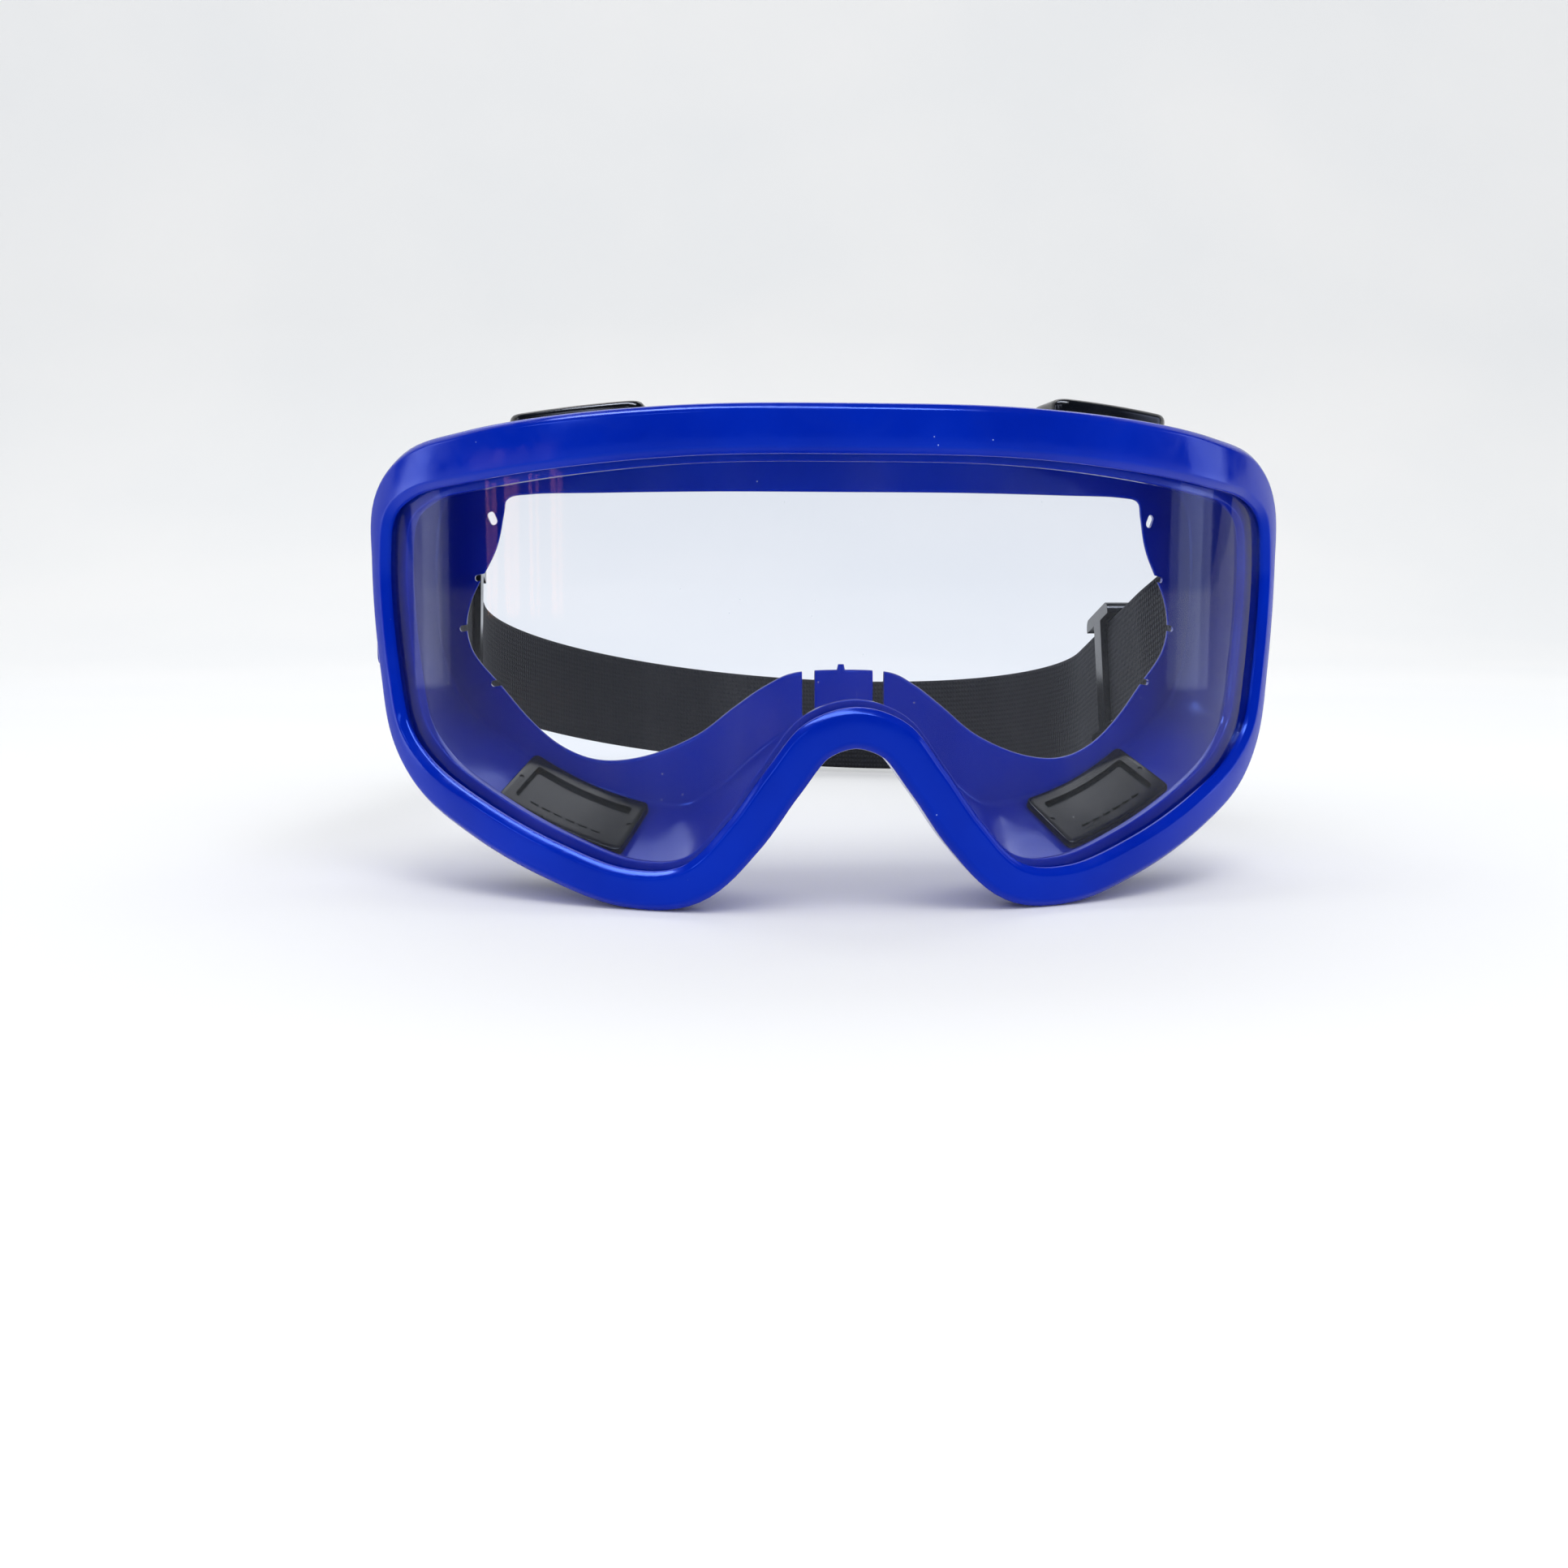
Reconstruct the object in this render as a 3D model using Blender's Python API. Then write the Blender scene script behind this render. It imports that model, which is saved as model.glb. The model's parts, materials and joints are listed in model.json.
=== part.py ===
"""Safety goggles: soft PVC body, curved clear lens, four capped vents and an elastic strap.

Run with: blender --background --python part.py
X runs from side to side, Y runs back towards the wearer's head, Z is up. The lens faces -Y.
The origin is on the wearer's face, on the middle plane, at half window height.
"""
import math

import bmesh
import bpy
import numpy as np

MM = 0.001

# Lens: a clear sheet bent to a cylinder whose axis stands upright behind it.
LENS_RADIUS = 0.102
LENS_THICKNESS = 0.0020
LENS_OVERLAP = 0.0028

# Window in the front of the body, measured along the bent lens and up it.
WINDOW_WIDTH = 0.1864
WINDOW_HEIGHT = 0.0691

# Rim round the lens.
RIM_RISE = 0.0020
RIM_CHAMFER = 0.0011
RIM_DEPTH = 0.0080
RIM_STEP = 0.0012
BACK_LIP_HEIGHT = 0.0010
BACK_LIP_DEPTH = 0.0017

# Body wall and the thin flange that lies on the face. The depth is from the lens to the face.
WALL = 0.0018
FLANGE = 0.0016
FACE_DEPTH = 0.028
FACE_CURVE = 6.8
NOSE_RISE = 0.008
NOSE_HALF_WIDTH = 0.014
NOSE_FADE = 0.012

# Slits and notches in the flange.
NOSE_SLIT_X = 0.0062
NOSE_SLIT_WIDTH = 0.0022
NOSE_SLIT_LENGTH = 0.0088
NOTCH_WIDTH = 0.0012
NOTCH_DEPTH = 0.0016
NOTCH_HEIGHTS = (0.0140, 0.0035, -0.0060)
NOTCH_TURN = 12.0
RELIEF_WIDTH = 0.0016
RELIEF_HEIGHT = 0.0032
RELIEF_UP = 0.0250
RELIEF_INSET = 0.0022
RELIEF_TURN = 25.0

# Vents: a cap outside the wall, its plug through the wall, a frame inside it. They sit a little
# to the right of true, and one cap stands a little proud of its seat.
CAP_LENGTH = 0.0275
CAP_WIDTH = 0.0145
CAP_HEIGHT = 0.0042
CAP_ROUND = 0.0012
CAP_CORNER = 0.0030
PLUG_INSET = 0.0040
HOLE_CORNER = 0.0010
FRAME_LENGTH = 0.0290
FRAME_WIDTH = 0.0158
FRAME_HEIGHT = 0.0016
FRAME_CORNER = 0.0014
FRAME_BORDER = 0.0028
POCKET_DEPTH = 0.0008
TOP_VENT_X = 0.0472
LOW_VENT_X = 0.0507
VENT_SHIFT = 0.0008
LOW_VENT_BACK = 0.0025
PROUD_CAP = "top_right"
PROUD_LIFT = 0.0012

# Strap: flat elastic webbing, threaded through each lug and back through its adjuster.
WEBBING_WIDTH = 0.0250
WEBBING = 0.0014
STRAP_PITCH = -16.3
HEAD_STEP_IN = 0.0080107
PIVOT_RADIUS = WEBBING_WIDTH / 2 + 0.0009
EASE_LENGTH = 0.025
WEBBING_START = 0.002
STRAIGHT_END = 0.093
STRAP_REACH = 0.150
TAIL_END = 0.099
STRAP_SKEW = 0.0062
STRAP_LIFT = 0.0018

# Strap lugs on the sides of the body, each with a slot that the webbing goes through.
LUG_Z = 0.013
LUG_HEIGHT = WEBBING_WIDTH + 0.0060
LUG_CORNER = 0.0020
LUG_THICKNESS = 0.0022
LUG_INSET = 0.0006
LUG_ROOT = 0.0040
SLOT_START = 0.0098
SLOT_WIDTH = 0.0034
POST_WIDTH = 0.0035

# Adjusters: three-bar slides.
ADJUSTER_AT = 0.0660
ADJUSTER_LENGTH = 0.0200
ADJUSTER_CORNER = 0.0020
BAR_WIDTH = 0.0040
MIDDLE_BAR = 0.0060
BAR_THICKNESS = 0.0016
RAIL_WIDTH = 0.0030

# Clearance between pieces that touch.
GAP = 0.0003

# Detail of the curves.
STEPS_PER_SPAN = 4
ARC_STEPS = 8
SIDE_STEPS = 18
BEND_STEP = 0.006

# The right half of the body, from the middle of the brow round to the middle of the nose, in mm.
# Each row: window edge (along the lens, up), rim width, flange edge (x, z), crease where the
# flange meets the wall (x, z).
STATIONS = [
    (0.0, 34.2, 8.2, 0.0, 29.2, 0.0, 39.3),
    (26.0, 34.0, 8.3, 22.0, 29.3, 24.0, 39.1),
    (50.0, 32.4, 8.7, 43.0, 29.3, 46.0, 38.2),
    (70.0, 30.3, 8.8, 56.0, 29.3, 63.0, 36.4),
    (84.5, 28.2, 8.2, 60.8, 28.4, 71.0, 33.0),
    (91.5, 24.4, 6.9, 61.5, 25.6, 75.3, 27.6),
    (93.2, 17.0, 5.4, 63.2, 19.0, 76.8, 18.8),
    (92.9, 8.0, 5.2, 68.8, 8.5, 76.8, 8.0),
    (91.0, -3.0, 5.2, 68.6, 0.0, 75.4, -3.0),
    (88.0, -12.5, 5.6, 62.3, -7.2, 70.6, -12.0),
    (81.0, -18.8, 6.6, 57.0, -12.9, 62.8, -17.8),
    (68.0, -25.0, 6.9, 50.5, -17.8, 54.5, -22.3),
    (52.0, -31.2, 6.8, 42.5, -19.9, 44.0, -26.4),
    (38.5, -34.9, 6.7, 33.5, -18.2, 34.0, -28.5),
    (29.0, -33.9, 6.9, 25.5, -14.4, 27.0, -28.5),
    (21.5, -26.6, 7.1, 19.0, -9.2, 20.5, -24.0),
    (15.0, -17.6, 7.0, 13.5, -5.1, 14.5, -18.3),
    (8.5, -9.7, 7.0, 8.2, -2.5, 8.0, -13.6),
    (0.0, -6.9, 7.0, 0.0, -1.9, 0.0, -12.2),
]
DRAWN_WIDTH = 2 * max(row[0] for row in STATIONS) * MM
DRAWN_HEIGHT = (max(row[1] for row in STATIONS) - min(row[1] for row in STATIONS)) * MM


# ---------------------------------------------------------------- scene and materials

def clear_scene():
    for thing in list(bpy.data.objects):
        bpy.data.objects.remove(thing, do_unlink=True)


def new_collection(name):
    collection = bpy.data.collections.new(name)
    bpy.context.scene.collection.children.link(collection)
    return collection


def new_material(name, colour, roughness, transmission=0.0):
    material = bpy.data.materials.new(name)
    material.use_nodes = True
    shader = material.node_tree.nodes["Principled BSDF"]
    shader.inputs["Base Color"].default_value = (*colour, 1.0)
    shader.inputs["Roughness"].default_value = roughness
    shader.inputs["Metallic"].default_value = 0.0
    shader.inputs["Transmission Weight"].default_value = transmission
    return material


def new_object(name, bm, collection, material=None, smooth_angle=35.0):
    bm.normal_update()
    bmesh.ops.recalc_face_normals(bm, faces=bm.faces)
    mesh = bpy.data.meshes.new(name)
    bm.to_mesh(mesh)
    bm.free()
    thing = bpy.data.objects.new(name, mesh)
    collection.objects.link(thing)
    if material is not None:
        mesh.materials.append(material)
        mesh.shade_smooth()
        mesh.set_sharp_from_angle(angle=math.radians(smooth_angle))
    return thing


def hide_cutter(thing):
    thing.hide_render = True
    thing.display_type = "WIRE"


def add_boolean(thing, other, operation):
    modifier = thing.modifiers.new(operation.lower() + "_" + other.name, "BOOLEAN")
    modifier.operation = operation
    modifier.solver = "EXACT"
    modifier.object = other


# ---------------------------------------------------------------- curves and surfaces

def lens_point(along, up, rise):
    """A point by its distance along the bent lens, its height and its rise off the front face."""
    angle = along / LENS_RADIUS
    x = (LENS_RADIUS + rise) * math.sin(angle)
    y = LENS_RADIUS - (LENS_RADIUS + rise) * math.cos(angle) - FACE_DEPTH
    return np.array((x, y, up))


def face_y(x, z):
    """How far back the wearer's face lies: a curved face with the nose standing forward."""
    fade = min(max((NOSE_FADE - z) / NOSE_FADE, 0.0), 1.0)
    nose = NOSE_RISE * math.exp(-(x / NOSE_HALF_WIDTH) ** 2) * fade
    return FACE_CURVE * x * x - nose


def smooth_closed(rows, steps):
    """A smooth closed curve through the rows, spaced by the first two columns."""
    rows = np.array(rows)
    count = len(rows)
    after = np.roll(rows, -1, axis=0)
    spans = np.sqrt(np.linalg.norm((after - rows)[:, :2], axis=1))
    samples = []
    slopes = []
    for i in range(count):
        before = spans[i - 1]
        ahead = spans[i]
        rise_before = (rows[i] - rows[i - 1]) / before
        rise_ahead = (after[i] - rows[i]) / ahead
        slopes.append((rise_before * ahead + rise_ahead * before) / (before + ahead))
    for i in range(count):
        end = (i + 1) % count
        for step in range(steps):
            t = step / steps
            hold = 2 * t ** 3 - 3 * t ** 2 + 1
            lead = (t ** 3 - 2 * t ** 2 + t) * spans[i]
            trail = (t ** 3 - t ** 2) * spans[i]
            samples.append(
                hold * rows[i] + (1 - hold) * rows[end] + lead * slopes[i] + trail * slopes[end]
            )
    return np.array(samples)


def outward(curve):
    """Unit outward normals of a closed plane curve that runs clockwise."""
    tangent = np.roll(curve, -1, axis=0) - np.roll(curve, 1, axis=0)
    tangent /= np.linalg.norm(tangent, axis=1)[:, None]
    return np.stack((-tangent[:, 1], tangent[:, 0]), axis=1)


def body_curves():
    """The body's guide curves, each sampled at the same stations round the loop."""
    along = WINDOW_WIDTH / DRAWN_WIDTH * MM
    upward = WINDOW_HEIGHT / DRAWN_HEIGHT * MM
    bent_half = lens_point(WINDOW_WIDTH / 2, 0.0, 0.0)[0]
    across = bent_half / lens_point(DRAWN_WIDTH / 2, 0.0, 0.0)[0] * MM
    scale = np.array((along, upward, MM, across, upward, across, upward))
    right = [np.array(row) * scale for row in STATIONS]
    mirror = np.array((-1, 1, 1, -1, 1, -1, 1))
    left = [row * mirror for row in reversed(right[1:-1])]
    samples = smooth_closed(right + left, STEPS_PER_SPAN)
    window = samples[:, 0:2]
    crease = samples[:, 5:7]
    return {
        "window": window,
        "window_out": outward(window),
        "rim": samples[:, 2],
        "edge": samples[:, 3:5],
        "crease": crease,
        "crease_out": outward(crease),
    }


def body_section(curves, i):
    """The closed section of the body at one station, and the four corners of its wall."""
    along, up = curves["window"][i]
    out_along, out_up = curves["window_out"][i]
    rim = curves["rim"][i]

    def at(width, rise):
        return lens_point(along + width * out_along, up + width * out_up, rise)

    def straight_back(width, y):
        point = at(width, RIM_RISE - RIM_CHAMFER)
        point[1] = y
        return point

    groove = LENS_OVERLAP + GAP
    groove_back = -LENS_THICKNESS - GAP
    rim_edge = at(rim, RIM_RISE - RIM_CHAMFER)
    back_y = rim_edge[1] + RIM_DEPTH
    wall_front = straight_back(rim - RIM_STEP, back_y)
    wall_front_in = straight_back(rim - RIM_STEP - WALL, back_y - RIM_STEP)
    crease_x, crease_z = curves["crease"][i]
    crease_out_x, crease_out_z = curves["crease_out"][i] * WALL / 2
    wall_back = np.array((crease_x + crease_out_x, 0.0, crease_z + crease_out_z))
    wall_back_in = np.array((crease_x - crease_out_x, 0.0, crease_z - crease_out_z))
    crease_y = face_y(crease_x, crease_z)
    wall_back[1] = crease_y
    wall_back_in[1] = crease_y - FLANGE
    edge_x, edge_z = curves["edge"][i]
    edge_y = face_y(edge_x, edge_z)
    section = [
        at(0.0, GAP),
        at(0.0, RIM_RISE - RIM_CHAMFER),
        at(RIM_CHAMFER, RIM_RISE),
        at(rim - RIM_CHAMFER, RIM_RISE),
        rim_edge,
        straight_back(rim, back_y),
        wall_front,
        wall_back,
        np.array((edge_x, edge_y, edge_z)),
        np.array((edge_x, edge_y - FLANGE, edge_z)),
        wall_back_in,
        wall_front_in,
        at(-BACK_LIP_HEIGHT, groove_back - BACK_LIP_DEPTH),
        at(-BACK_LIP_HEIGHT, groove_back),
        at(groove, groove_back),
        at(groove, GAP),
    ]
    return section, (wall_front, wall_back, wall_front_in, wall_back_in)


def loft_ring(sections):
    """A closed ring of quads through a loop of sections with equal point counts."""
    bm = bmesh.new()
    rings = [[bm.verts.new(point) for point in section] for section in sections]
    for ring, following in zip(rings, rings[1:] + rings[:1]):
        for k in range(len(ring)):
            after = (k + 1) % len(ring)
            bm.faces.new((ring[k], ring[after], following[after], following[k]))
    return bm


class Wall:
    """The body's side wall as a surface: distance along the loop, distance back, rise off it."""

    def __init__(self, corners):
        fronts, backs, fronts_in, backs_in = (np.array(side) for side in zip(*corners))
        self.outside = (fronts, backs)
        self.inside = (fronts_in, backs_in)
        middle = (fronts + backs) / 2
        steps = np.linalg.norm(np.roll(middle, -1, axis=0) - middle, axis=1)
        self.count = len(middle)
        self.middle = middle
        self.length = np.concatenate(((0.0,), np.cumsum(steps)))

    def row(self, points, distance):
        """The point of a corner curve at a distance along the loop."""
        total = self.length[-1]
        place = np.interp(distance % total, self.length, np.arange(self.count + 1))
        low = int(place)
        share = place - low
        first = points[low % self.count]
        second = points[(low + 1) % self.count]
        return first * (1 - share) + second * share

    def find(self, x, top):
        """The distance along the loop where the wall's middle passes x, above or below."""
        best = None
        for i in range(self.count):
            point = self.middle[i]
            if (point[2] > 0) != top:
                continue
            miss = abs(point[0] - x)
            if best is None or miss < best[0]:
                best = (miss, i)
        i = best[1]
        nearby = [(i - 1) % self.count, i, (i + 1) % self.count]
        nearby.sort(key=lambda k: self.middle[k][0])
        xs = [self.middle[k][0] for k in nearby]
        return float(np.interp(x, xs, [self.length[k] for k in nearby]))

    def point(self, spot, along, back, rise, inside=False):
        """A point by its distances from a spot on the wall. Rise is away from the wearer."""
        fronts, backs = self.inside if inside else self.outside
        centre, centre_back = spot
        nudge = 0.5 * MM

        def on(distance, further):
            front = self.row(fronts, distance)
            rear = self.row(backs, distance)
            size = np.linalg.norm(rear - front)
            return front + (rear - front) * (0.5 + (centre_back + further) / size)

        def stride(further):
            return np.linalg.norm(on(centre + nudge, further) - on(centre - nudge, further))

        along *= stride(0.0) / stride(back)
        middle = on(centre + along, back)
        lengthways = on(centre + along + nudge, back) - on(centre + along - nudge, back)
        backwards = on(centre + along, back + nudge) - on(centre + along, back - nudge)
        normal = np.cross(lengthways, backwards)
        normal /= np.linalg.norm(normal)
        return middle + normal * rise


def rounded_rectangle(length, width, corner, steps=4):
    """Corner points of a rounded rectangle about the origin, anticlockwise."""
    points = []
    for quarter, (sx, sy) in enumerate(((1, 1), (-1, 1), (-1, -1), (1, -1))):
        cx = sx * (length / 2 - corner)
        cy = sy * (width / 2 - corner)
        for step in range(steps + 1):
            angle = math.radians(90 * (quarter + step / steps))
            points.append((cx + corner * math.cos(angle), cy + corner * math.sin(angle)))
    return points


def stack(rings):
    """A closed solid through flat outlines with equal point counts, each at its own height."""
    bm = bmesh.new()
    loops = [[bm.verts.new((x, y, height)) for x, y in points] for points, height in rings]
    for low, high in zip(loops, loops[1:]):
        for k in range(len(low)):
            after = (k + 1) % len(low)
            bm.faces.new((low[k], low[after], high[after], high[k]))
    bm.faces.new(loops[0][::-1])
    bm.faces.new(loops[-1])
    bm.normal_update()
    bmesh.ops.recalc_face_normals(bm, faces=bm.faces)
    return bm


def flat_plate(points, low, high):
    """A plate with the given outline between two heights."""
    return stack([(points, low), (points, high)])


def bend(bm, step, place):
    """Cut a flat shape across its length and send every point through place(x, y, z)."""
    xs = [vert.co.x for vert in bm.verts]
    low = min(xs)
    cuts = max(2, round((max(xs) - low) / step))
    for k in range(1, cuts):
        x = low + (max(xs) - low) * k / cuts
        geometry = bm.verts[:] + bm.edges[:] + bm.faces[:]
        bmesh.ops.bisect_plane(
            bm, geom=geometry, plane_co=(x, 0, 0), plane_no=(1, 0, 0), dist=0.05 * MM,
        )
    bmesh.ops.triangulate(bm, faces=bm.faces)
    for vert in bm.verts:
        vert.co = place(*vert.co)


def box(name, size, centre, collection, turn_y=0.0):
    """A box about a centre, turned about Y."""
    bm = bmesh.new()
    bmesh.ops.create_cube(bm, size=1.0)
    bmesh.ops.scale(bm, verts=bm.verts, vec=size)
    turn = math.radians(turn_y)
    for vert in bm.verts:
        x, y, z = vert.co
        vert.co = (
            centre[0] + x * math.cos(turn) + z * math.sin(turn),
            centre[1] + y,
            centre[2] - x * math.sin(turn) + z * math.cos(turn),
        )
    return new_object(name, bm, collection)


# ---------------------------------------------------------------- the pieces

def make_body(curves, sections, wall, parts, cutters, material):
    body = new_object("goggle_body", loft_ring(sections), parts, material)
    for side, sign in (("left", -1), ("right", 1)):
        lug = make_lug(side, sign, cutters)
        add_boolean(body, lug, "UNION")
    for vent in vent_spots(wall):
        cutter = make_vent_hole(vent, wall, cutters)
        add_boolean(body, cutter, "DIFFERENCE")
    for cutter in flange_cutters(curves, cutters):
        add_boolean(body, cutter, "DIFFERENCE")
    return body


def lug_frame(curves):
    """The lug's middle plane and the strap's pivot, from the rim beside the lug."""
    heights = curves["window"][:, 1]
    right = [i for i in range(len(heights)) if curves["window"][i][0] > WINDOW_WIDTH / 3]
    nearest = min(right, key=lambda i: abs(heights[i] - LUG_Z))
    along, up = curves["window"][nearest]
    rim_edge = lens_point(along + curves["rim"][nearest], up, RIM_RISE - RIM_CHAMFER)
    plane_x = rim_edge[0] - LUG_INSET
    start_y = rim_edge[1] + RIM_DEPTH
    post_y = start_y + SLOT_START + SLOT_WIDTH
    return plane_x, start_y, post_y, post_y + POST_WIDTH / 2


def make_lug(side, sign, cutters):
    """A thin ear behind the rim with an upright slot that leaves a post for the webbing."""
    front = LUG_START_Y - LUG_ROOT
    back = POST_Y + POST_WIDTH
    outline = rounded_rectangle(back - front, LUG_HEIGHT, LUG_CORNER)
    bm = flat_plate(outline, -LUG_THICKNESS / 2, LUG_THICKNESS / 2)
    for vert in bm.verts:
        y, z, x = vert.co
        vert.co = (sign * (LUG_X + x), (front + back) / 2 + y, LUG_Z + z)
    lug = new_object("lug_" + side, bm, cutters)
    hide_cutter(lug)
    slot_size = (4 * LUG_THICKNESS, SLOT_WIDTH, WEBBING_WIDTH + 4 * GAP)
    slot_centre = (sign * LUG_X, POST_Y - SLOT_WIDTH / 2, LUG_Z)
    slot = box("lug_slot_" + side, slot_size, slot_centre, cutters)
    hide_cutter(slot)
    add_boolean(lug, slot, "DIFFERENCE")
    return lug


def vent_spots(wall):
    """Name of each vent and where its centre lies on the wall: along it and back."""
    spots = []
    for side, sign in (("left", -1), ("right", 1)):
        top = wall.find(sign * TOP_VENT_X + VENT_SHIFT, True)
        bottom = wall.find(sign * LOW_VENT_X + VENT_SHIFT, False)
        spots.append(("top_" + side, (top, 0.0)))
        spots.append(("bottom_" + side, (bottom, LOW_VENT_BACK)))
    return spots


def make_vent_hole(vent, wall, cutters):
    name, spot = vent
    length = CAP_LENGTH - 2 * PLUG_INSET + 2 * GAP
    width = CAP_WIDTH - 2 * PLUG_INSET + 2 * GAP
    bm = flat_plate(rounded_rectangle(length, width, HOLE_CORNER), -2.5 * WALL, 1.5 * WALL)
    bend(bm, BEND_STEP, lambda a, b, rise: wall.point(spot, a, b, rise))
    cutter = new_object("vent_hole_" + name, bm, cutters)
    hide_cutter(cutter)
    return cutter


def flange_cutters(curves, cutters):
    """Nose slits, the small notches in the side edges and the relief holes above them."""
    made = []
    nose_z = curves["edge"][len(curves["edge"]) // 2][1]
    slit_top = nose_z + NOSE_SLIT_LENGTH / 2
    slit_bottom = nose_z - NOSE_SLIT_LENGTH
    slit_y = face_y(0.0, slit_bottom)
    for side, sign in (("left", -1), ("right", 1)):
        size = (NOSE_SLIT_WIDTH, 6 * FLANGE, slit_top - slit_bottom)
        centre = (sign * NOSE_SLIT_X, slit_y, (slit_top + slit_bottom) / 2)
        made.append(box("nose_slit_" + side, size, centre, cutters))
        for number, height in enumerate(NOTCH_HEIGHTS):
            x, z = edge_at(curves, sign, height)
            size = (2 * NOTCH_DEPTH, 6 * FLANGE, NOTCH_WIDTH)
            name = "notch_" + side + "_" + str(number)
            centre = (x, face_y(x, z), z)
            made.append(box(name, size, centre, cutters, sign * NOTCH_TURN))
        x, z = edge_at(curves, sign, RELIEF_UP)
        x += sign * RELIEF_INSET
        size = (RELIEF_WIDTH, 6 * FLANGE, RELIEF_HEIGHT)
        centre = (x, face_y(x, z), z)
        made.append(box("relief_" + side, size, centre, cutters, sign * RELIEF_TURN))
    for cutter in made:
        hide_cutter(cutter)
    return made


def edge_at(curves, sign, height):
    """The flange edge's point at a height, on one side."""
    edge = curves["edge"]
    side = [i for i in range(len(edge)) if edge[i][0] * sign > WINDOW_WIDTH / 4]
    nearest = min(side, key=lambda i: abs(edge[i][1] - height))
    return edge[nearest]


def make_lens(curves, parts, material):
    outline = curves["window"] + curves["window_out"] * LENS_OVERLAP
    bm = flat_plate(outline[::-1], -LENS_THICKNESS, 0.0)
    bend(bm, BEND_STEP, lens_point)
    return new_object("lens", bm, parts, material)


def make_vent_cap(vent, wall, parts, material):
    """A low rounded cap over the vent, with a plug that fills the hole in the wall."""
    name, spot = vent
    lift = PROUD_LIFT if name == PROUD_CAP else 0.0
    low = GAP + lift
    high = CAP_HEIGHT + lift
    outline = rounded_rectangle(CAP_LENGTH, CAP_WIDTH, CAP_CORNER)
    plug_length = CAP_LENGTH - 2 * PLUG_INSET
    plug_width = CAP_WIDTH - 2 * PLUG_INSET
    plug = rounded_rectangle(plug_length, plug_width, HOLE_CORNER - GAP)
    bm = stack([(plug, -WALL), (plug, low), (outline, low), (outline, high)])
    top = max(bm.faces, key=lambda face: face.calc_center_median().z)
    bmesh.ops.bevel(
        bm, geom=top.edges[:], offset=CAP_ROUND, offset_type="OFFSET", segments=2,
        profile=0.5, affect="EDGES", clamp_overlap=True, material=-1,
    )
    bend(bm, BEND_STEP, lambda a, b, rise: wall.point(spot, a, b, rise))
    return new_object("vent_cap_" + name, bm, parts, material)


def make_vent_frame(vent, wall, parts, material):
    """The frame that clips to the cap's plug inside the body, with a shallow pocket."""
    name, spot = vent
    outline = rounded_rectangle(FRAME_LENGTH, FRAME_WIDTH, FRAME_CORNER)
    pocket_length = FRAME_LENGTH - 2 * FRAME_BORDER
    pocket_width = FRAME_WIDTH - 2 * FRAME_BORDER
    pocket = rounded_rectangle(pocket_length, pocket_width, FRAME_CORNER / 2)
    floor = FRAME_HEIGHT - POCKET_DEPTH
    bm = stack([(outline, GAP), (outline, FRAME_HEIGHT), (pocket, FRAME_HEIGHT), (pocket, floor)])
    bend(bm, BEND_STEP, lambda a, b, rise: wall.point(spot, a, b, -rise, inside=True))
    return new_object("vent_frame_" + name, bm, parts, material)


def ease(share):
    """A smooth step from 0 to 1."""
    share = min(max(share, 0.0), 1.0)
    return share * share * (3 - 2 * share)


def strap_place(x, back, up):
    """A point of the strap from its own level frame, which starts at the pivot."""
    share = ease((back - PIVOT_RADIUS) / EASE_LENGTH)
    rise = up + share * (STRAP_LIFT - STRAP_SKEW * x / HEAD_HALF_WIDTH)
    pitch = math.radians(STRAP_PITCH)
    y = PIVOT_Y + back * math.cos(pitch) - rise * math.sin(pitch)
    z = LUG_Z + back * math.sin(pitch) + rise * math.cos(pitch)
    return (x, y, z)


def loop_place(x, back, up):
    """A point of the fold round a lug post, measured level from the pivot."""
    return (x, PIVOT_Y + back, LUG_Z + up)


def layer_x(back, outer):
    """How far out one layer of the strap lies: apart at the lug, stacked at the adjuster."""
    spread = LUG_THICKNESS / 2 + GAP + WEBBING / 2
    start = LUG_X + (spread if outer else -spread)
    end = HEAD_HALF_WIDTH + (WEBBING + GAP if outer else 0.0)
    return start + (end - start) * ease((back - PIVOT_RADIUS) / EASE_LENGTH)


def webbing_object(name, path, place, collection, material):
    """Webbing stood on edge along a level path of (x, back) points."""
    points = np.array(path)
    tangent = np.gradient(points, axis=0)
    tangent /= np.linalg.norm(tangent, axis=1)[:, None]
    side = np.stack((tangent[:, 1], -tangent[:, 0]), axis=1) * WEBBING / 2
    outline = list(points + side) + list((points - side)[::-1])
    bm = flat_plate(outline, -WEBBING_WIDTH / 2, WEBBING_WIDTH / 2)
    bmesh.ops.triangulate(bm, faces=bm.faces)
    for vert in bm.verts:
        vert.co = place(*vert.co)
    return new_object(name, bm, collection, material)


def pivot_cylinder(name, radius, collection):
    """A cylinder on the strap's pivot axis, as wide as the goggles."""
    bm = bmesh.new()
    bmesh.ops.create_cone(
        bm, cap_ends=True, segments=48, radius1=radius, radius2=radius, depth=4 * LUG_X,
    )
    for vert in bm.verts:
        x, y, z = vert.co
        vert.co = (z, PIVOT_Y + x, LUG_Z + y)
    cylinder = new_object(name, bm, collection)
    hide_cutter(cylinder)
    return cylinder


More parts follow.
